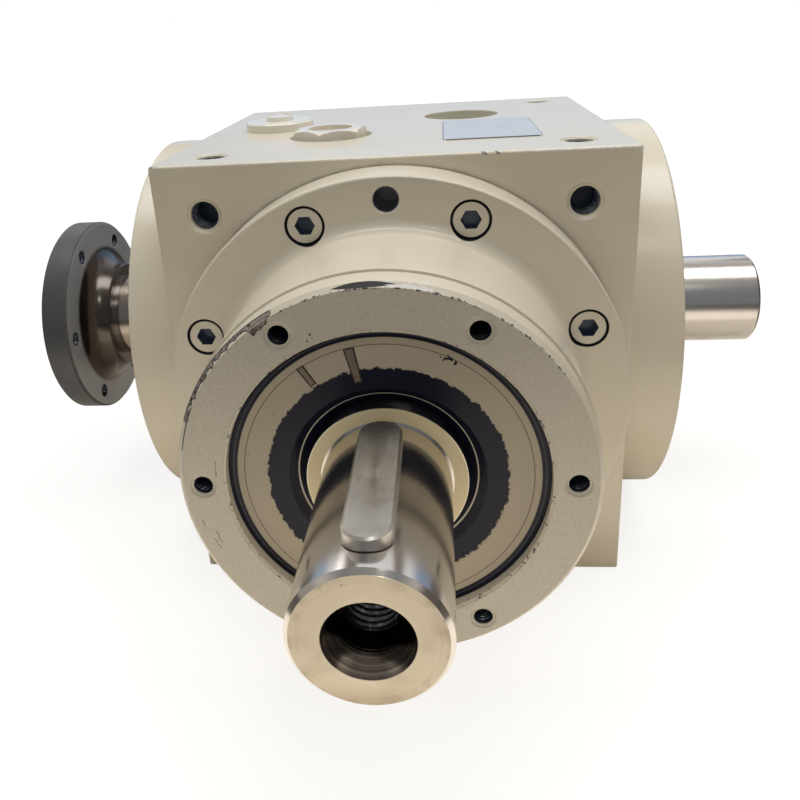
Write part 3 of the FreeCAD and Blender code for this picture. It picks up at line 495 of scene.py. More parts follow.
def housing_paint():
    """Paint of the housing: worn edges, marks on its front top edge, bare holes, painted shade in the sunk
    ports and round the flange.
    """
    paint = cream_paint("housing_paint")
    sides = (paint.x, paint.y, paint.z)
    room = [paint.calc("SUBTRACT", HALF, paint.calc("ABSOLUTE", side)) for side in sides]
    near = [paint.calc("MINIMUM", value, EDGE_REACH) for value in room]
    from_edge = paint.calc("SUBTRACT", paint.gather("ADD", near), paint.gather("MAXIMUM", near))
    edge = paint.step(from_edge, *EDGE_WEAR)
    front = paint.step(paint.y, -HALF + 3.0, -HALF + 1.5)
    front_top = paint.both(edge, front, paint.step(paint.z, HALF - 4.0, HALF - 2.0))
    corner = paint.both(front_top, paint.step(paint.x, -HALF + 4.0, -HALF + 2.0))
    chip(paint, paint.either(paint.weak(edge, 0.38), paint.weak(corner, 0.8)), 1.1)
    edge_marks(paint, front_top)

    wavering = paint.calc("MULTIPLY_ADD", paint.noise(0.4, 3.0), 1.2, paint.least(*room))
    ports = paint.both(
        paint.step(paint.z, HALF - PORT_DEPTH - 0.1, HALF - PORT_DEPTH + 0.1),
        paint.step(paint.calc("ABSOLUTE", paint.x), PORT_REACH + 1.0, PORT_REACH - 1.0),
        paint.step(paint.calc("ABSOLUTE", paint.y), PORT_REACH + 1.0, PORT_REACH - 1.0),
    )
    in_top = paint.step(paint.z, HALF - 3.2, HALF - 3.0)
    reach = paint.mixed(in_top, CORNER_PAINT_DEPTH + 0.6, 1.6)
    inside = paint.step(paint.calc("SUBTRACT", wavering, reach), 0.0, 0.2)
    bare_hole_in_shade(paint, paint.both(inside, paint.flip(ports)))
    mouth = paint.step(paint.from_corner_hole(), CORNER_HOLE_MOUTH, CORNER_HOLE_RADIUS)
    paint.relief(mouth, -0.6)
    # Painted shade: the walls and floors of the sunk ports are greyed and darkened
    sunk = paint.both(ports, paint.step(paint.z, HALF - 0.3, HALF - 0.6))
    paint.cover(paint.weak(sunk, 0.5), colour=SUNK_SHADE)

    # Painted shade: a ragged dark band on the front face just outside the flange
    along, radius = paint.about_front()[:2]
    ragged = paint.calc("MULTIPLY_ADD", paint.noise(0.25, 3.0), 3.0, radius)
    beside = paint.step(ragged, FLANGE_RADIUS + 3.0, FLANGE_RADIUS)
    flange_seam_shade = paint.both(paint.step(along, HALF - 1.0, HALF - 0.2), beside)
    paint.cover(paint.weak(flange_seam_shade, 0.35), colour=DIRT_AND_SHADE)
    return paint.done()


def nose_chips(paint, on_face, radius, angle):
    """Bare strip, dark strip with a painted highlight beside it, white flakes and specks round the nose's
    edge, and scratches on its face.
    """
    ragged = paint.noise(0.9, 5.0, rough=0.6)
    width = paint.lines(angle, 0.3, 4.0)
    patch = paint.band(angle, *PATCH_TURN, 1.0)
    level = paint.calc("MULTIPLY_ADD", width, 3.5, radius)
    level = paint.calc("MULTIPLY_ADD", ragged, 0.7, level)
    level = paint.calc("MULTIPLY_ADD", patch, 1.6, level)
    strip = paint.both(on_face, paint.band(angle, *STRIP_TURN, 1.5))
    black, bare = [
        paint.both(strip, paint.step(level, *start), paint.step(radius, *end))
        for start, end in (STRIP_BLACK, STRIP_BARE)
    ]
    scratched = paint.tinted(paint.step(paint.noise(1.2, 4.0), 0.3, 0.6), CHIP_RIM_AND_SHADE, SCRATCHED_METAL)
    thin = paint.patch((angle, THIN_TURN, 1.0), (radius, THIN_RADII, 0.08))
    turn = paint.calc("DIVIDE", paint.calc("SUBTRACT", angle, DARK_MIDDLE), DARK_HALF_TURN)
    narrowing = paint.calc("MULTIPLY", paint.calc("MULTIPLY", turn, turn), 0.6)
    lens = paint.calc("SUBTRACT", DARK_HALF_WIDTH, narrowing)
    off = paint.calc("ABSOLUTE", paint.calc("SUBTRACT", radius, DARK_RADIUS))
    dark = paint.step(paint.calc("SUBTRACT", lens, off), 0.0, 0.1)
    grains = paint.step(paint.noise(1.3, 4.0), 0.52, 0.56)
    flakes = paint.both(paint.patch((angle, FLAKE_TURN, 1.5), (radius, FLAKE_RADII, 0.2)), grains)
    gleam = paint.patch((angle, GLEAM_TURN, 2.0), (radius, GLEAM_RADII, 0.1))
    pits = paint.step(paint.noise(0.8, 5.0, rough=0.65), 0.54, 0.58)
    at_edge = paint.patch((angle, EDGE_SPECK_TURN, 3.0), (radius, EDGE_SPECK_RADII, 0.15))
    inward = paint.patch((angle, FACE_SPECK_TURN, 0.5), (radius, FACE_SPECK_RADII, 0.3))
    specks = paint.either(at_edge, inward)
    paint.cover(paint.both(on_face, flakes), colour=FLAKE_AND_HIGHLIGHT_WHITE, rough=0.25)
    wander = paint.calc("MULTIPLY_ADD", paint.noise(0.35, 3.0), 1.6, radius)
    for first, last, place in SCRATCHES:
        line = paint.patch((angle, (first, last), 0.8), (wander, (place, place + SCRATCH_WIDTH), 0.1))
        paint.cover(paint.weak(paint.both(on_face, line), 0.75), colour=DIRT_AND_SHADE)
    marks = paint.either(thin, dark, paint.both(specks, pits))
    paint.cover(paint.either(black, paint.both(on_face, marks)), colour=CHIP_RIM_AND_SHADE, rough=0.5)
    paint.cover(bare, colour=scratched, metal=0.6, rough=0.38)
    # Painted highlight: a white band beside the dark strip
    paint.cover(paint.both(on_face, gleam), colour=FLAKE_AND_HIGHLIGHT_WHITE, rough=0.2)
    paint.relief(paint.either(black, paint.both(on_face, dark)), -0.08)


def screw_ring(paint, cross):
    """Painted shade in the narrow gap round each flange screw, and on the edges beside it."""
    away = paint.from_screw(cross)
    return paint.band(away, GAP_INNER, GAP_OUTER, 0.12)


def carrier_paint():
    """Paint of the front carrier: darker and pebbly on its ring face, chipped round the edge of that."""
    paint = cream_paint("carrier_paint")
    along, radius, angle = paint.about_front()
    on_face = paint.step(along, NOSE_FACE - 1.6, NOSE_FACE - 1.3)
    front = paint.step(along, NOSE_FACE - 0.15, NOSE_FACE - 0.05)
    ring = paint.both(front, paint.step(radius, RING_EDGE + 0.1, RING_EDGE))
    # The ring face is tinted darker than the rest of the paint
    paint.cover(paint.weak(ring, 0.85), colour=CREAM_DARKER)
    paint.relief(paint.both(ring, paint.noise(1.3, 2.0)), 0.10)
    pebbles = paint.both(ring, paint.step(paint.noise(1.3, 3.0), 0.40, 0.62))
    paint.cover(paint.weak(pebbles, 0.35), colour=PEBBLE_SHADE)
    mouth = paint.both(front, paint.step(paint.from_nose_hole(), *NOSE_MOUTH))
    paint.relief(mouth, -0.5)
    paint.cover(paint.weak(mouth, 0.8), colour=CREAM)
    nose_chips(paint, on_face, radius, angle)
    inner_edge = paint.both(on_face, paint.step(radius, NOSE_BORE + 1.2, NOSE_BORE + 0.3))
    chip(paint, paint.weak(inner_edge, 0.42), 0.8)
    # Painted shade in the gap round each screw of the front flange, below the flange's face
    root = NOSE_FACE - NOSE_LENGTH
    rim = paint.both(paint.step(along, root + 1.0, root - 1.0), screw_ring(paint, False))
    paint.cover(rim, colour=CHIP_RIM_AND_SHADE, rough=0.6)

    below = paint.step(along, NOSE_FACE - 0.7, NOSE_FACE - 1.0)
    in_nose = paint.both(below, paint.band(radius, *NOSE_HOLE_RING, 0.3))
    below = paint.step(along, FRONT_FACE - 0.2, FRONT_FACE - 0.4)
    in_flange = paint.both(below, paint.band(radius, *FRONT_HOLE_RING, 0.3))
    below = paint.step(along, SEAL_FACE + 0.2, SEAL_FACE)
    in_bore = paint.both(below, paint.step(radius, NOSE_BORE + 0.6, NOSE_BORE + 0.4))
    bare_hole_in_shade(paint, paint.either(in_nose, in_flange, in_bore))
    skin = 0.004
    flat = paint.either(paint.band(along, FRONT_FACE - skin, FRONT_FACE + skin, skin / 2), front)
    paint.smooth_rim(flat, along, radius, FRONT_FACE)
    return paint.done()


def cover_paint():
    """Paint of the side covers, sandy where the casting shows through on the rim."""
    paint = cream_paint("cover_paint")
    along, radius = paint.about_cross()
    rim = paint.step(radius, FLANGE_RADIUS - 0.6, FLANGE_RADIUS - 0.2)
    paint.relief(paint.both(paint.noise(1.4, 3.0), rim), 0.05)
    edge = paint.both(
        paint.step(radius, FLANGE_RADIUS - 1.4, FLANGE_RADIUS - 0.4),
        paint.step(along, SIDE_FACE - 1.2, SIDE_FACE - 0.6),
    )
    chip(paint, paint.weak(edge, 0.36), 1.1)
    below = paint.step(along, SIDE_FACE - 0.2, SIDE_FACE - 0.4)
    in_flange = paint.both(below, paint.band(radius, *SIDE_HOLE_RING, 0.3))
    in_bore = paint.both(below, paint.step(radius, SIDE_BORE + 0.1, SIDE_BORE - 0.1))
    bare_hole_in_shade(paint, paint.either(in_flange, in_bore))
    return paint.done()


def screw_paint(name, along_cross, face):
    """Painted screw heads with bare sockets and sides darkened as painted shade, and painted shade round
    their edges.
    """
    paint = cream_paint(name)
    along = paint.about_cross()[0] if along_cross else paint.about_front()[0]
    bare_hole_in_shade(paint, paint.step(along, face - 0.45, face - 0.6))
    paint.cover(screw_ring(paint, along_cross), colour=CHIP_RIM_AND_SHADE, rough=0.6)
    return paint.done()


def fitting_paint():
    """Paint of the breather and of the sight glass's rim, which is pale tan round the glass, lightened there
    as painted light.
    """
    paint = cream_paint("fitting_paint")
    paint.cover(paint.weak(paint.step(paint.noise(0.05, 3.0), 0.2, 0.4), 0.7), colour=FITTING_WHITE)
    radius = paint.radius((1, 1, 0), (SIGHT_X, SIGHT_Y, 0.0))
    low = paint.step(paint.z, GLASS_TOP + 1.1, GLASS_TOP + 0.9)
    # Painted light: the recess round the glass is made pale tan
    dish = paint.both(paint.step(radius, SIGHT_DISH + 0.2, SIGHT_DISH - 0.1), low)
    paint.cover(dish, colour=DISH_TAN_LIT, rough=0.35)
    return paint.done()


# Metal, rubber and glass

def turned_steel(name, colour, rough, cross):
    """Ground steel with the fine lines of turning about the front or the cross axis."""
    steel = Finish(name, colour, 1.0, rough, {"Anisotropic": 0.35})
    tangent = steel.add("Tangent", {}, direction_type="RADIAL", axis="X" if cross else "Y")
    steel.feed(steel.shader.inputs["Tangent"], tangent)
    if cross:
        along, radius = steel.about_cross()
    else:
        along, radius = steel.about_front()[:2]
    run = steel.calc("MULTIPLY_ADD", radius, TURNING_SHARE, along)
    fine = steel.lines(run, 6.0, 4.0)
    broad = steel.lines(run, 0.35, 3.0)
    steel.rough = steel.mixed(fine, rough - 0.05, rough + 0.08)
    steel.relief(fine, 0.0012)
    darker = tuple(0.86 * part for part in colour)
    steel.colour = steel.tinted(broad, darker, colour)
    stains = steel.step(steel.noise(0.12, 4.0), 0.56, 0.75)
    steel.cover(steel.weak(stains, 0.3), colour=STAINED_STEEL, rough=rough + 0.08)
    return steel, along, radius


def shaft_end(steel, depth, radius):
    """Dull scratched end face, darker towards its bottom as painted shade, crisp chamfer, centre cone with
    rings, oily and darkened as painted shade, relief blackened as painted shade with a painted highlight on
    its lip.
    """
    face = steel.step(depth, 0.08, 0.02)
    scratches = steel.lines(radius, 2.6, 5.0)
    steel.cover(face, colour=END_FACE, metal=0.85, rough=0.38)
    steel.cover(steel.both(face, steel.step(scratches, 0.5, 0.75)), colour=FACE_SCRATCH)
    steel.relief(steel.both(face, scratches), 0.006)
    smudge = steel.both(face, steel.step(steel.noise(0.14, 5.0), 0.5, 0.72))
    steel.cover(steel.weak(smudge, 0.22), colour=FACE_SMUDGE, rough=0.5)
    rubbed = steel.both(face, steel.step(radius, *RUBBED_RADII), steel.step(steel.noise(0.3, 5.0), 0.5, 0.66))
    steel.cover(steel.weak(rubbed, 0.35), colour=FACE_RUBBED, rough=0.5)
    # Painted shade: the end face is darker and browner towards its bottom
    lower = steel.both(face, steel.step(steel.z, *SHADED_BELOW))
    steel.cover(steel.weak(lower, 0.5), colour=FACE_LOWER_SHADE, rough=0.5)
    pits = steel.both(face, steel.step(steel.noise(1.1, 4.0, rough=0.7), 0.69, 0.73))
    steel.cover(pits, colour=FACE_PIT, rough=0.6)
    steel.relief(pits, -0.05)
    chamfer = steel.step(depth, SHAFT_CHAMFER, SHAFT_CHAMFER - 0.1)
    wide = steel.step(depth, CENTRE_CONE + 0.1, CENTRE_CONE)
    cone = steel.both(steel.step(radius, CENTRE_MOUTH, CENTRE_MOUTH - 0.1), wide)
    crisp = steel.both(steel.either(chamfer, cone), steel.flip(face))
    steel.cover(crisp, colour=STEEL, metal=1.0, rough=0.13)
    # Painted reflection: the cone's colours are darkened for the dim room that it mirrors
    rings = steel.lines(depth, 1.6, 3.0)
    oily_and_shaded = steel.tinted(steel.step(rings, 0.4, 0.65), CONE_DARK, CONE_LIGHT)
    steel.cover(steel.both(cone, steel.flip(face)), colour=oily_and_shaded, rough=0.16)
    # Painted shade: the relief inside the centre hole is black
    narrow = steel.step(radius, CENTRE_RELIEF_RADIUS + 0.1, CENTRE_RELIEF_RADIUS - 0.1)
    inside = steel.both(narrow, steel.step(depth, CENTRE_CONE - 0.1, CENTRE_CONE + 0.1))
    steel.cover(inside, colour=RELIEF_SHADE, rough=0.3)
    # Painted highlight: a thin bright ring on the relief's lip
    thin = steel.band(depth, CENTRE_CONE + 0.6, CENTRE_CONE + 0.7, 0.08)
    steel.cover(steel.both(thin, narrow), colour=LIP_HIGHLIGHT, rough=0.2)


def front_shaft_steel():
    """Front shaft, with overspray of yellowed paint on the shoulder beside the seal."""
    steel, along, radius = turned_steel("front_shaft_steel", STEEL, 0.15, False)
    shaft_end(steel, steel.calc("SUBTRACT", FRONT_END, along), radius)
    low = steel.band(along, FRONT_SHOULDER - 0.4, FRONT_SHOULDER + 0.1, 0.3)
    shoulder = steel.both(low, steel.band(radius, SHAFT_RADIUS + 0.6, SHOULDER_RADIUS - 0.3, 0.3))
    steel.cover(shoulder, colour=CREAM_YELLOW, metal=0.0, rough=0.4)
    return steel.done()


def cross_shaft_steel():
    """Cross shaft, with like ends, darkened with painted shade between the hub and the left cover."""
    steel, along, radius = turned_steel("cross_shaft_steel", STEEL, 0.18, True)
    end = steel.mixed(steel.step(steel.x, -1.0, 1.0), LEFT_END, RIGHT_END)
    shaft_end(steel, steel.calc("SUBTRACT", end, along), radius)
    # Painted shade on the shaft between the hub and the left cover
    shaded_behind_hub = steel.band(steel.x, -HUB_INNER_END, -SIDE_FACE, 1.0)
    steel.cover(steel.weak(shaded_behind_hub, 0.75), colour=HUB_GAP_SHADE)
    return steel.done()


def key_steel():
    """Drawn key steel, satin, with faint scuffs."""
    steel = Finish("key_steel", KEY_STEEL, 1.0, 0.34, {"Anisotropic": 0.3})
    stretched = steel.add("VectorMath", {0: steel.at, 1: (1.0, 0.08, 1.0)}, operation="MULTIPLY")
    drawn = steel.noise(3.5, 3.0, stretched)
    steel.rough = steel.mixed(drawn, 0.26, 0.44)
    steel.relief(drawn, 0.006)
    dull = steel.step(steel.noise(0.2, 5.0), 0.42, 0.72)
    steel.cover(steel.weak(dull, 0.5), colour=KEY_DULL, rough=0.42)
    scuffs = steel.step(steel.noise(0.9, 5.0, rough=0.7), 0.63, 0.68)
    steel.cover(steel.weak(scuffs, 0.5), colour=KEY_SCUFF, rough=0.3)
    return steel.done()


def dark_steel(name, neck):
    """Blackened steel, turned and handled; a hub's inner face is made pale as painted light, its neck brown
    and shiny.
    """
    steel = Finish(name, GUN_METAL, 0.3, 0.42, {"Anisotropic": 0.2})
    along, radius = steel.about_cross()
    run = steel.calc("MULTIPLY_ADD", radius, TURNING_SHARE, along)
    fine = steel.lines(run, 3.0, 4.0)
    steel.rough = steel.mixed(fine, 0.36, 0.5)
    steel.relief(fine, 0.003)
    rubbed = steel.step(steel.noise(0.10, 5.0), 0.45, 0.75)
    steel.cover(steel.weak(rubbed, 0.6), colour=HANDLED)
    if neck:
        # Painted light: the inner face of the hub's flange is a pale grey
        inner = HUB_FACE - HUB_FLANGE
        behind = steel.step(along, inner + 0.3, inner + 0.1)
        face = steel.both(behind, steel.step(radius, HUB_INNER_EDGE + 0.15, HUB_INNER_EDGE - 0.15))
        steel.cover(face, colour=HUB_INNER, metal=0.4, rough=0.42)
        slim = steel.both(behind, steel.step(radius, HUB_NECK, HUB_NECK - 2.0))
        steel.cover(slim, colour=NECK_BROWN, metal=0.95, rough=0.22)
    specks = steel.step(steel.noise(1.4, 4.0, rough=0.7), 0.70, 0.74)
    steel.cover(specks, colour=DARK_SPECK, rough=0.35)
    return steel.done()


def plain_steel(name, colour, rough):
    """Steel of the pieces inside: even, with fine variation."""
    steel = Finish(name, colour, 1.0, rough)
    grain = steel.noise(1.5, 4.0)
    steel.rough = steel.mixed(grain, rough - 0.08, rough + 0.12)
    steel.relief(grain, 0.006)
    oil = steel.step(steel.noise(0.08, 4.0), 0.5, 0.75)
    steel.cover(steel.weak(oil, 0.4), colour=tuple(0.6 * part for part in colour))
    return steel.done()


def seal_rubber():
    """Side seals: black rubber with a little dust."""
    rubber = Finish("seal_rubber", RUBBER, 0.0, 0.45)
    dust = rubber.step(rubber.noise(0.25, 5.0), 0.5, 0.8)
    rubber.cover(rubber.weak(dust, 0.25), colour=DUST, rough=0.7)
    rubber.relief(rubber.noise(1.2, 3.0), 0.02)
    return rubber.done()


def front_seal_rubber():
    """Front seal: navy rubber with overspray of cream paint, darkened partly as painted shade, flaked and
    scratched; two brown ribs ringed with painted shade, and a painted highlight arc.
    """
    rubber = Finish("front_seal_rubber", RUBBER, 0.0, 0.26, {"Specular IOR Level": 0.3})
    along, radius, angle = rubber.about_front()
    rubber.relief(rubber.noise(1.0, 3.0), 0.01)
    face = rubber.step(along, SEAL_FACE - 0.25, SEAL_FACE - 0.05)
    ragged = rubber.calc("MULTIPLY_ADD", rubber.noise(0.55, 5.0, rough=0.65), 3.0, radius)
    within = rubber.step(radius, *SEAL_PAINT_OUTER)
    painted = rubber.both(face, rubber.step(ragged, *SEAL_PAINT_INNER), within)
    flakes = rubber.patch((angle, SEAL_FLAKE_TURN, 1.5), (radius, SEAL_FLAKE_RADII, 0.4))
    flaky = rubber.calc("MULTIPLY_ADD", flakes, 0.16, rubber.noise(0.8, 4.0, rough=0.6))
    painted = rubber.both(painted, rubber.flip(rubber.step(flaky, 0.70, 0.73)))
    # The overspray keeps its own colour, darkened in part as painted shade
    rubber.cover(painted, colour=SEAL_CREAM_SHADED, rough=0.42)
    rubber.relief(painted, 0.05)
    scratch = rubber.both(painted, rubber.band(radius, *SEAL_SCRATCH, 0.12))
    rubber.cover(scratch, colour=DIRT_AND_SHADE, rough=0.6)
    for first, last, inner, outer in SEAL_RIBS:
        # Each rib gets a dark rim of painted shade, then a brown top
        rim = rubber.patch((angle, (first, last), 0.4), (radius, (inner, outer), 0.2))
        rubber.cover(rubber.both(face, rim), colour=CHIP_RIM_AND_SHADE, rough=0.4)
        middle = rubber.band(angle, first + 0.7, last - 0.7, 0.5)
        top = rubber.both(face, middle, rubber.band(radius, inner + 0.3, outer - 0.3, 0.3))
        rubber.cover(top, colour=RIB_BROWN, metal=0.5, rough=0.35)
        rubber.relief(top, 0.2)
    line = rubber.both(face, rubber.band(radius, *SEAL_LINE, 0.12))
    rubber.cover(line, colour=RUBBER_WORN)
    # Painted highlight: a thin cream arc near the shaft
    near_face = rubber.step(along, SEAL_FACE - 3.2, SEAL_FACE - 2.9)
    arc = rubber.both(near_face, rubber.band(radius, *SEAL_HIGHLIGHT_ARC, 0.1))
    rubber.cover(arc, colour=CREAM)
    return rubber.done()


def glass():
    """Cloudy glass of the oil sight, slightly brown."""
    sockets = {"Transmission Weight": 0.3, "IOR": 1.5}
    cloudy = Finish("sight_glass", GLASS_BROWN, 0.0, 0.06, sockets)
    cloudy.rough = cloudy.mixed(cloudy.noise(0.4, 3.0), 0.03, 0.12)
    return cloudy.done()


def thread_steel(name, colours):
    """Oily cut threads, with bright crests where tools have rubbed."""
    cut, crest = colours
    steel = Finish(name, cut, 1.0, 0.28)
    rubbed = steel.step(steel.noise(0.8, 4.0), 0.48, 0.7)
    steel.cover(rubbed, colour=crest, rough=0.2)
    return steel.done()


def label_film():
    """Blank label: dim bluish film with a thin dark line at its edge."""
    sockets = {"Coat Weight": 0.3, "Coat Roughness": 0.12}
    film = Finish("label_film", LABEL_BLUE, 0.0, 0.35, sockets)
    film.cover(film.step(film.noise(0.15, 4.0), 0.45, 0.8), colour=LABEL_DIM, rough=0.42)
    gaps = []
    for value, (low, high) in ((film.x, LABEL_X), (film.y, LABEL_Y)):
        gaps += [film.calc("SUBTRACT", value, low), film.calc("SUBTRACT", high, value)]
    film.cover(film.step(film.least(*gaps), *LABEL_LINE), colour=LABEL_RIM)
    return film.done()


# Pieces

def new_piece(name, mesh, material, body):
    """Puts a mesh in the scene as a piece that rides on a body."""
    piece = bpy.data.objects.new(name, mesh)
    bpy.context.scene.collection.objects.link(piece)
    mesh.materials.append(material)
    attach(piece, body)


def in_frame(spot):
    """A point in the frame's metres, from millimetres from the crossing of the axes."""
    return spot * MM + Vector((0, 0, HALF * MM))


# Sleeves that carry the threads
SLEEVE_SIDES = 32
ROWS_PER_TURN = 8
SLEEVE_GAP = 0.004
SLEEVE_WALL = 4 * SLEEVE_GAP
FLANK_SLOPE = 1.5
ROOT_SHARE = 0.25


def add_sleeve(build, mouth, out, thread, run):
    """Adds a closed sleeve whose inner wall is a thread, between two depths below a hole's mouth."""
    hole, height, pitch = thread
    start, end = run
    turn = out.to_track_quat("Z", "Y")
    rows = int((end - start) / pitch * ROWS_PER_TURN) + 1

    def ring(depth, radius_at):
        corners = []
        for side in range(SLEEVE_SIDES):
            angle = 2 * math.pi * side / SLEEVE_SIDES
            radius = radius_at(angle)
            spot = Vector((radius * math.cos(angle), radius * math.sin(angle), -depth))
            corners.append(build.verts.new(in_frame(mouth + turn @ spot)))
        return corners

    def thread_radius(depth):
        ease = min(1.0, (depth - start) / pitch, (end - depth) / pitch)

        def radius_at(angle):
            phase = (depth / pitch - angle / (2 * math.pi)) % 1.0
            ridge = min(1.0, max(0.0, FLANK_SLOPE * (1 - abs(2 * phase - 1)) - ROOT_SHARE))
            return hole - SLEEVE_WALL - height * max(0.0, ease) * ridge
        return radius_at

    rings = [ring(end, lambda angle: hole - SLEEVE_GAP), ring(start, lambda angle: hole - SLEEVE_GAP)]
    for row in range(rows + 1):
        depth = start + (end - start) * row / rows
        rings.append(ring(depth, thread_radius(depth)))
    for lower, upper in zip(rings, rings[1:] + rings[:1]):
        for side in range(SLEEVE_SIDES):
            after = (side + 1) % SLEEVE_SIDES
            build.faces.new((lower[side], lower[after], upper[after], upper[side]))


def threads(name, places, thread, run, material, body):
    """One piece with the threads of like holes; each place is a hole's mouth and its way out."""
    build = bmesh.new()
    for mouth, out in places:
        add_sleeve(build, Vector(mouth), Vector(out), thread, run)
    bmesh.ops.recalc_face_normals(build, faces=build.faces)
    mesh = bpy.data.meshes.new(name)
    build.to_mesh(mesh)
    build.free()
    mesh.shade_smooth()
    new_piece(name, mesh, material, body)


def corner_places():
    """Mouths of the corner holes of all six faces."""
    places = []
    signs = (-1, 1)
    for axis, side, first, second in itertools.product(range(3), signs, signs, signs):
        mouth = [first * CORNER_HOLE_OFFSET, second * CORNER_HOLE_OFFSET]
        mouth.insert(axis, side * HALF)
        out = [0, 0]
        out.insert(axis, side)
        places.append((mouth, out))
    return places


def circle_places(circle, count, first, along, cross):
    """Mouths of holes on a circle about the front axis, or about the left end of the cross axis."""
    places = []
    for i in range(count):
        angle = math.radians(first + 360.0 * i / count)
        across, up = circle * math.cos(angle), circle * math.sin(angle)
        if cross:
            places.append(((-along, -across, up), (-1, 0, 0)))
        else:
            places.append(((across, -along, up), (0, -1, 0)))
    return places


def label(material):
    """Thin blank plate with rounded corners and a bevelled rim, on the top face."""
    def outline(inset, height):
        corners = []
        radius = LABEL_CORNER - inset
        middles = (
            (LABEL_X[1], LABEL_Y[1], 0), (LABEL_X[0], LABEL_Y[1], 90),
            (LABEL_X[0], LABEL_Y[0], 180), (LABEL_X[1], LABEL_Y[0], 270),
        )
        for x, y, first in middles:
            toward = math.radians(first + 45)
            centre_x = x - math.copysign(LABEL_CORNER, math.cos(toward))
            centre_y = y - math.copysign(LABEL_CORNER, math.sin(toward))
            for part in range(LABEL_CORNER_PARTS + 1):
                angle = math.radians(first + 90 * part / LABEL_CORNER_PARTS)
                spot = (centre_x + radius * math.cos(angle), centre_y + radius * math.sin(angle), height)
                corners.append(build.verts.new(in_frame(Vector(spot))))
        return corners

    build = bmesh.new()
    low = HALF + SLEEVE_GAP
    high = HALF + LABEL_THICKNESS
    loops = [outline(0.0, low), outline(0.0, high - LABEL_EDGE), outline(LABEL_EDGE, high)]
    for lower, upper in zip(loops, loops[1:]):
        for i in range(len(lower)):
            after = (i + 1) % len(lower)
            build.faces.new((lower[i], lower[after], upper[after], upper[i]))
    build.faces.new(loops[-1])
    build.faces.new(reversed(loops[0]))
    mesh = bpy.data.meshes.new("label_plate")
    build.to_mesh(mesh)
    build.free()
    new_piece("label_plate", mesh, material, "case")


def dress():
    """Gives every solid its finish and adds the threads and the label."""
    cover = cover_paint()
    fitting = fitting_paint()
    key = key_steel()
    dark = dark_steel("dark_steel", False)
    rubber = seal_rubber()
    shim = plain_steel("shim_steel", SHIM_STEEL, 0.4)
    bearing = plain_steel("bearing_steel", BEARING_STEEL, 0.18)
    cage = plain_steel("cage_steel", CAGE_STEEL, 0.38)
    side_screws = screw_paint("side_screw_paint", True, SIDE_FACE)
    finishes = {
        "housing": housing_paint(),
        "front_carrier": carrier_paint(),
        "right_cover": cover,
        "left_cover": cover,
        "front_screws": screw_paint("front_screw_paint", False, FRONT_FACE),
        "right_screws": side_screws,
        "left_screws": side_screws,
        "breather": fitting,
        "sight_body": fitting,
        "sight_glass": glass(),
        "sunk_plug": dark,
        "front_shaft": front_shaft_steel(),
        "cross_shaft": cross_shaft_steel(),
        "front_key": key,
        "gear_key": key,
        "hub_key": key,
        "hub": dark_steel("hub_steel", True),
        "lock_nut": dark,
        "lock_washer": dark,
        "bevel_gear": plain_steel("gear_steel", GEAR_STEEL, 0.3),
        "front_seal": front_seal_rubber(),
        "right_seal": rubber,
        "left_seal": rubber,
        "front_shim": shim,
        "right_shim": shim,
        "left_shim": shim,
    }
    for name in ("inner", "outer", "right", "left"):
        for piece in ("cup", "cone", "rollers"):
            finishes[name + "_" + piece] = bearing
        finishes[name + "_cage"] = cage
    for name, material in finishes.items():
        mesh = nodes[name].data
        mesh.materials.clear()
        mesh.materials.append(material)

    # Lit and shaded copies of one thread steel, as painted light and painted shade
    bright = thread_steel("lit_thread", LIT_THREAD)
    dull = thread_steel("shaded_thread", SHADED_THREAD)
    centre = thread_steel("centre_thread", CENTRE_THREAD)
    nose = circle_places(NOSE_HOLE_CIRCLE, NOSE_HOLE_COUNT, 0.0, NOSE_FACE, False)
    hub = circle_places(HUB_HOLE_CIRCLE, HUB_HOLE_COUNT, HUB_HOLE_TURN, HUB_FACE, True)
    left = ((-LEFT_END, 0, 0), (-1, 0, 0))
    right = ((RIGHT_END, 0, 0), (1, 0, 0))
    front = ((0, -FRONT_END, 0), (0, -1, 0))
    corners = corner_places()
    threads("corner_threads", corners, M10_THREAD, CORNER_THREAD_RUN, bright, "case")
    threads("nose_threads", nose, M6_THREAD, NOSE_THREAD_RUN, dull, "case")
    threads("hub_threads", hub, M6_THREAD, HUB_THREAD_RUN, dull, "output")
    threads("cross_shaft_threads", [left, right], M12_THREAD, CENTRE_THREAD_RUN, centre, "output")
    threads("front_shaft_threads", [front], M12_THREAD, CENTRE_THREAD_RUN, centre, "input")
    label(label_film())


# Studio and camera

FLOOR_SIZE = 30.0
FLOOR_CENTRE = (0.0, -80.0, 0.0)
FLOOR_NEAR_EDGE = (300.0, 190.0)
FLOOR_FADE = (150.0, 900.0)
FLOOR_FAR = (0.10, 0.088, 0.075)
FLOOR_NEAR = (0.85, 0.765, 0.65)
FLOOR_MOTTLE = (0.45, 0.40, 0.34)
FLOOR_SEEN = (0.27, 0.27, 0.265)
FLOOR_GLOW = (1.0, 0.995, 0.985, 1.0)
FLOOR_STRENGTH = (0.80, 1.03)
BLACK = (0.0, 0.0, 0.0)


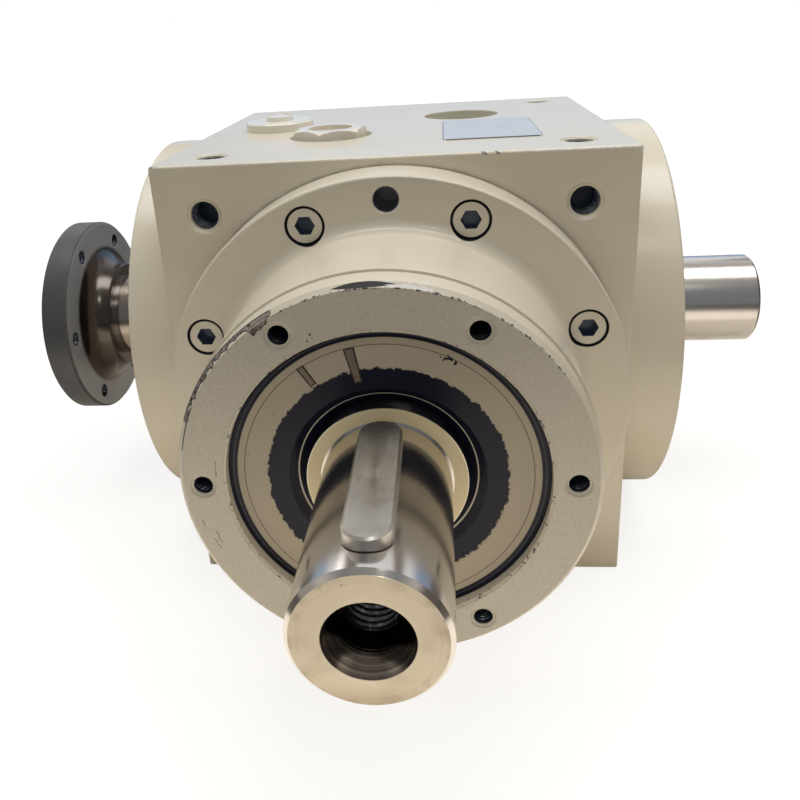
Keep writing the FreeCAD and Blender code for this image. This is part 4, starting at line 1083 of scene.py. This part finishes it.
def floor():
    """Wide floor, pale to the eye; the light that it throws back is warm, and strong near the gearbox."""
    half = FLOOR_SIZE / 2
    mesh = bpy.data.meshes.new("floor")
    corners = [(-half, -half, 0), (half, -half, 0), (half, half, 0), (-half, half, 0)]
    mesh.from_pydata(corners, [], [(0, 1, 2, 3)])
    pale = Finish("floor", FLOOR_FAR, 0.0, 0.8)
    away = pale.radius((1, 1, 0), FLOOR_CENTRE)
    pale.cover(pale.step(away, *FLOOR_NEAR_EDGE), colour=FLOOR_NEAR)
    pale.cover(pale.weak(pale.noise(0.02, 3.0), 0.1), colour=FLOOR_MOTTLE)
    seen = pale.add("LightPath", {}, "Is Camera Ray")
    far = pale.step(away, *FLOOR_FADE)
    pale.cover(seen, colour=pale.tinted(far, FLOOR_SEEN, BLACK))
    pale.shader.inputs["Emission Color"].default_value = FLOOR_GLOW
    pale.feed(pale.shader.inputs["Emission Strength"], pale.both(seen, pale.mixed(far, *FLOOR_STRENGTH)))
    mesh.materials.append(pale.done())
    piece = bpy.data.objects.new("floor", mesh)
    bpy.context.scene.collection.objects.link(piece)


def soft_box(name, place, target, width, height, watts, colour):
    """Rectangular soft light aimed at a point, unseen by the camera."""
    lamp = bpy.data.lights.new(name, "AREA")
    lamp.shape = "RECTANGLE"
    lamp.size = width
    lamp.size_y = height
    lamp.energy = watts
    lamp.color = colour
    box = bpy.data.objects.new(name, lamp)
    box.location = place
    box.rotation_euler = (Vector(target) - Vector(place)).to_track_quat("-Z", "Y").to_euler()
    box.visible_camera = False
    bpy.context.scene.collection.objects.link(box)


# Colours of the room, and the turns in degrees from straight behind where it is dim or bright
ROOM_FRONT = (0.19, 0.205, 0.215)
ROOM_BACK = ((0.32, 0.48, 0.72), (0.86, 0.86, 0.87))
ROOM_LEFT = ((0.32, 0.30, 0.27), (0.55, 0.51, 0.45))
ROOM_RIGHT = ((0.12, 0.10, 0.09), (0.60, 0.55, 0.48))
ROOM_TOP = (0.30, 0.275, 0.25)
ROOM_DIM = (0.15, 0.12, 0.10)
ROOM_BRIGHT = (1.8, 1.75, 1.65)
ROOM_WINDOW = (0.95, 0.90, 0.82)
WHITE = (1.0, 1.0, 1.0)
DIM_TURNS = ((-25.0, -16.0), (24.0, 29.0))
BRIGHT_TURN = (-31.5, -28.5)
WINDOW_TURN = (-62.0, -45.0)

# Where the room changes: parts of the direction, from -1 to 1
FRONT_TO_BACK = (-0.35, 0.35)
TO_SIDE = (0.4, 0.9)
BACK_RISE = (0.20, 0.36)
SIDE_RISE = (0.25, 0.45)
TOP_RISE = (0.6, 0.9)
BAND_RISE = (0.28, 0.62)
WINDOW_RISE = (0.0, 0.45)


def sky():
    """Room round the gearbox: cool behind, dim in front, paler high up, a window at left; seen as white."""
    world = bpy.data.worlds.new("studio")
    world.use_nodes = True
    bpy.context.scene.world = world
    world.node_tree.nodes.clear()
    air = Nodes(world.node_tree)
    x, y, z = air.split(air.add("TexCoord", {}, "Generated"))
    back = air.tinted(air.step(z, *BACK_RISE), *ROOM_BACK)
    colour = air.tinted(air.step(y, *FRONT_TO_BACK), ROOM_FRONT, back)
    high = air.step(z, *SIDE_RISE)
    left = air.tinted(high, *ROOM_LEFT)
    right = air.tinted(high, *ROOM_RIGHT)
    colour = air.tinted(air.step(x, -TO_SIDE[0], -TO_SIDE[1]), colour, left)
    colour = air.tinted(air.step(x, *TO_SIDE), colour, right)
    colour = air.tinted(air.step(z, *TOP_RISE), colour, ROOM_TOP)
    round_back = air.calc("DEGREES", air.calc("ARCTAN2", x, y))
    raised = air.band(z, *BAND_RISE, 0.08)
    bright = air.band(round_back, *BRIGHT_TURN, 1.0)
    dim = air.either(*[air.band(round_back, *turn, 2.0) for turn in DIM_TURNS])
    colour = air.tinted(air.both(raised, dim), colour, ROOM_DIM)
    colour = air.tinted(air.both(raised, bright), colour, ROOM_BRIGHT)
    window = air.both(air.band(z, *WINDOW_RISE, 0.08), air.band(round_back, *WINDOW_TURN, 3.0))
    colour = air.tinted(window, colour, ROOM_WINDOW)
    room = air.add("Background", {0: colour, 1: 1.0})
    white = air.add("Background", {0: WHITE, 1: 1.0})
    seen = air.add("LightPath", {}, "Is Camera Ray")
    shown = air.add("MixShader", {0: seen, 1: room, 2: white})
    output = air.tree.nodes.new("ShaderNodeOutputWorld")
    air.feed(output.inputs[0], shown)


# Place in metres, turns in degrees, lens and sensor in millimetres
CAMERA_PLACE = (0.01612427, -0.29337969, 0.17575861)
CAMERA_YAW = 6.3366
CAMERA_PITCH = -20.8435
CAMERA_ROLL = -3.6777
CAMERA_LENS = 35.5634
CAMERA_SENSOR = 36.0
CAMERA_NEAR = 0.01
CAMERA_SHIFT = (0.04079, -0.09693)


def camera():
    """Camera at the photograph's place: near, wide and looking down on the front shaft."""
    eye = bpy.data.cameras.new("camera")
    eye.lens = CAMERA_LENS
    eye.sensor_width = CAMERA_SENSOR
    eye.shift_x, eye.shift_y = CAMERA_SHIFT
    eye.clip_start = CAMERA_NEAR
    viewer = bpy.data.objects.new("camera", eye)
    turn = Matrix.Rotation(math.radians(CAMERA_YAW), 4, "Z")
    turn = turn @ Matrix.Rotation(math.radians(90.0 + CAMERA_PITCH), 4, "X")
    turn = turn @ Matrix.Rotation(math.radians(CAMERA_ROLL), 4, "Z")
    viewer.matrix_world = Matrix.Translation(CAMERA_PLACE) @ turn
    bpy.context.scene.collection.objects.link(viewer)
    bpy.context.scene.camera = viewer


dress()
floor()
sky()
soft_box(
    "overhead", place=(0.05, 0.0, 0.95), target=(0.0, 0.0, 0.1),
    width=0.4, height=1.0, watts=5.4, colour=(1.0, 0.99, 0.97),
)
soft_box(
    "ceiling_lamp", place=(0.25, -0.72, 0.95), target=(0.0, -0.05, 0.1),
    width=0.15, height=0.15, watts=0.7, colour=(1.0, 0.97, 0.92),
)
soft_box(
    "low_bounce", place=(0.0, -0.195, 0.002), target=(0.0, -0.195, 1.0),
    width=0.44, height=0.21, watts=0.12, colour=(1.0, 0.92, 0.80),
)
camera()
bpy.context.scene.view_settings.view_transform = "Standard"
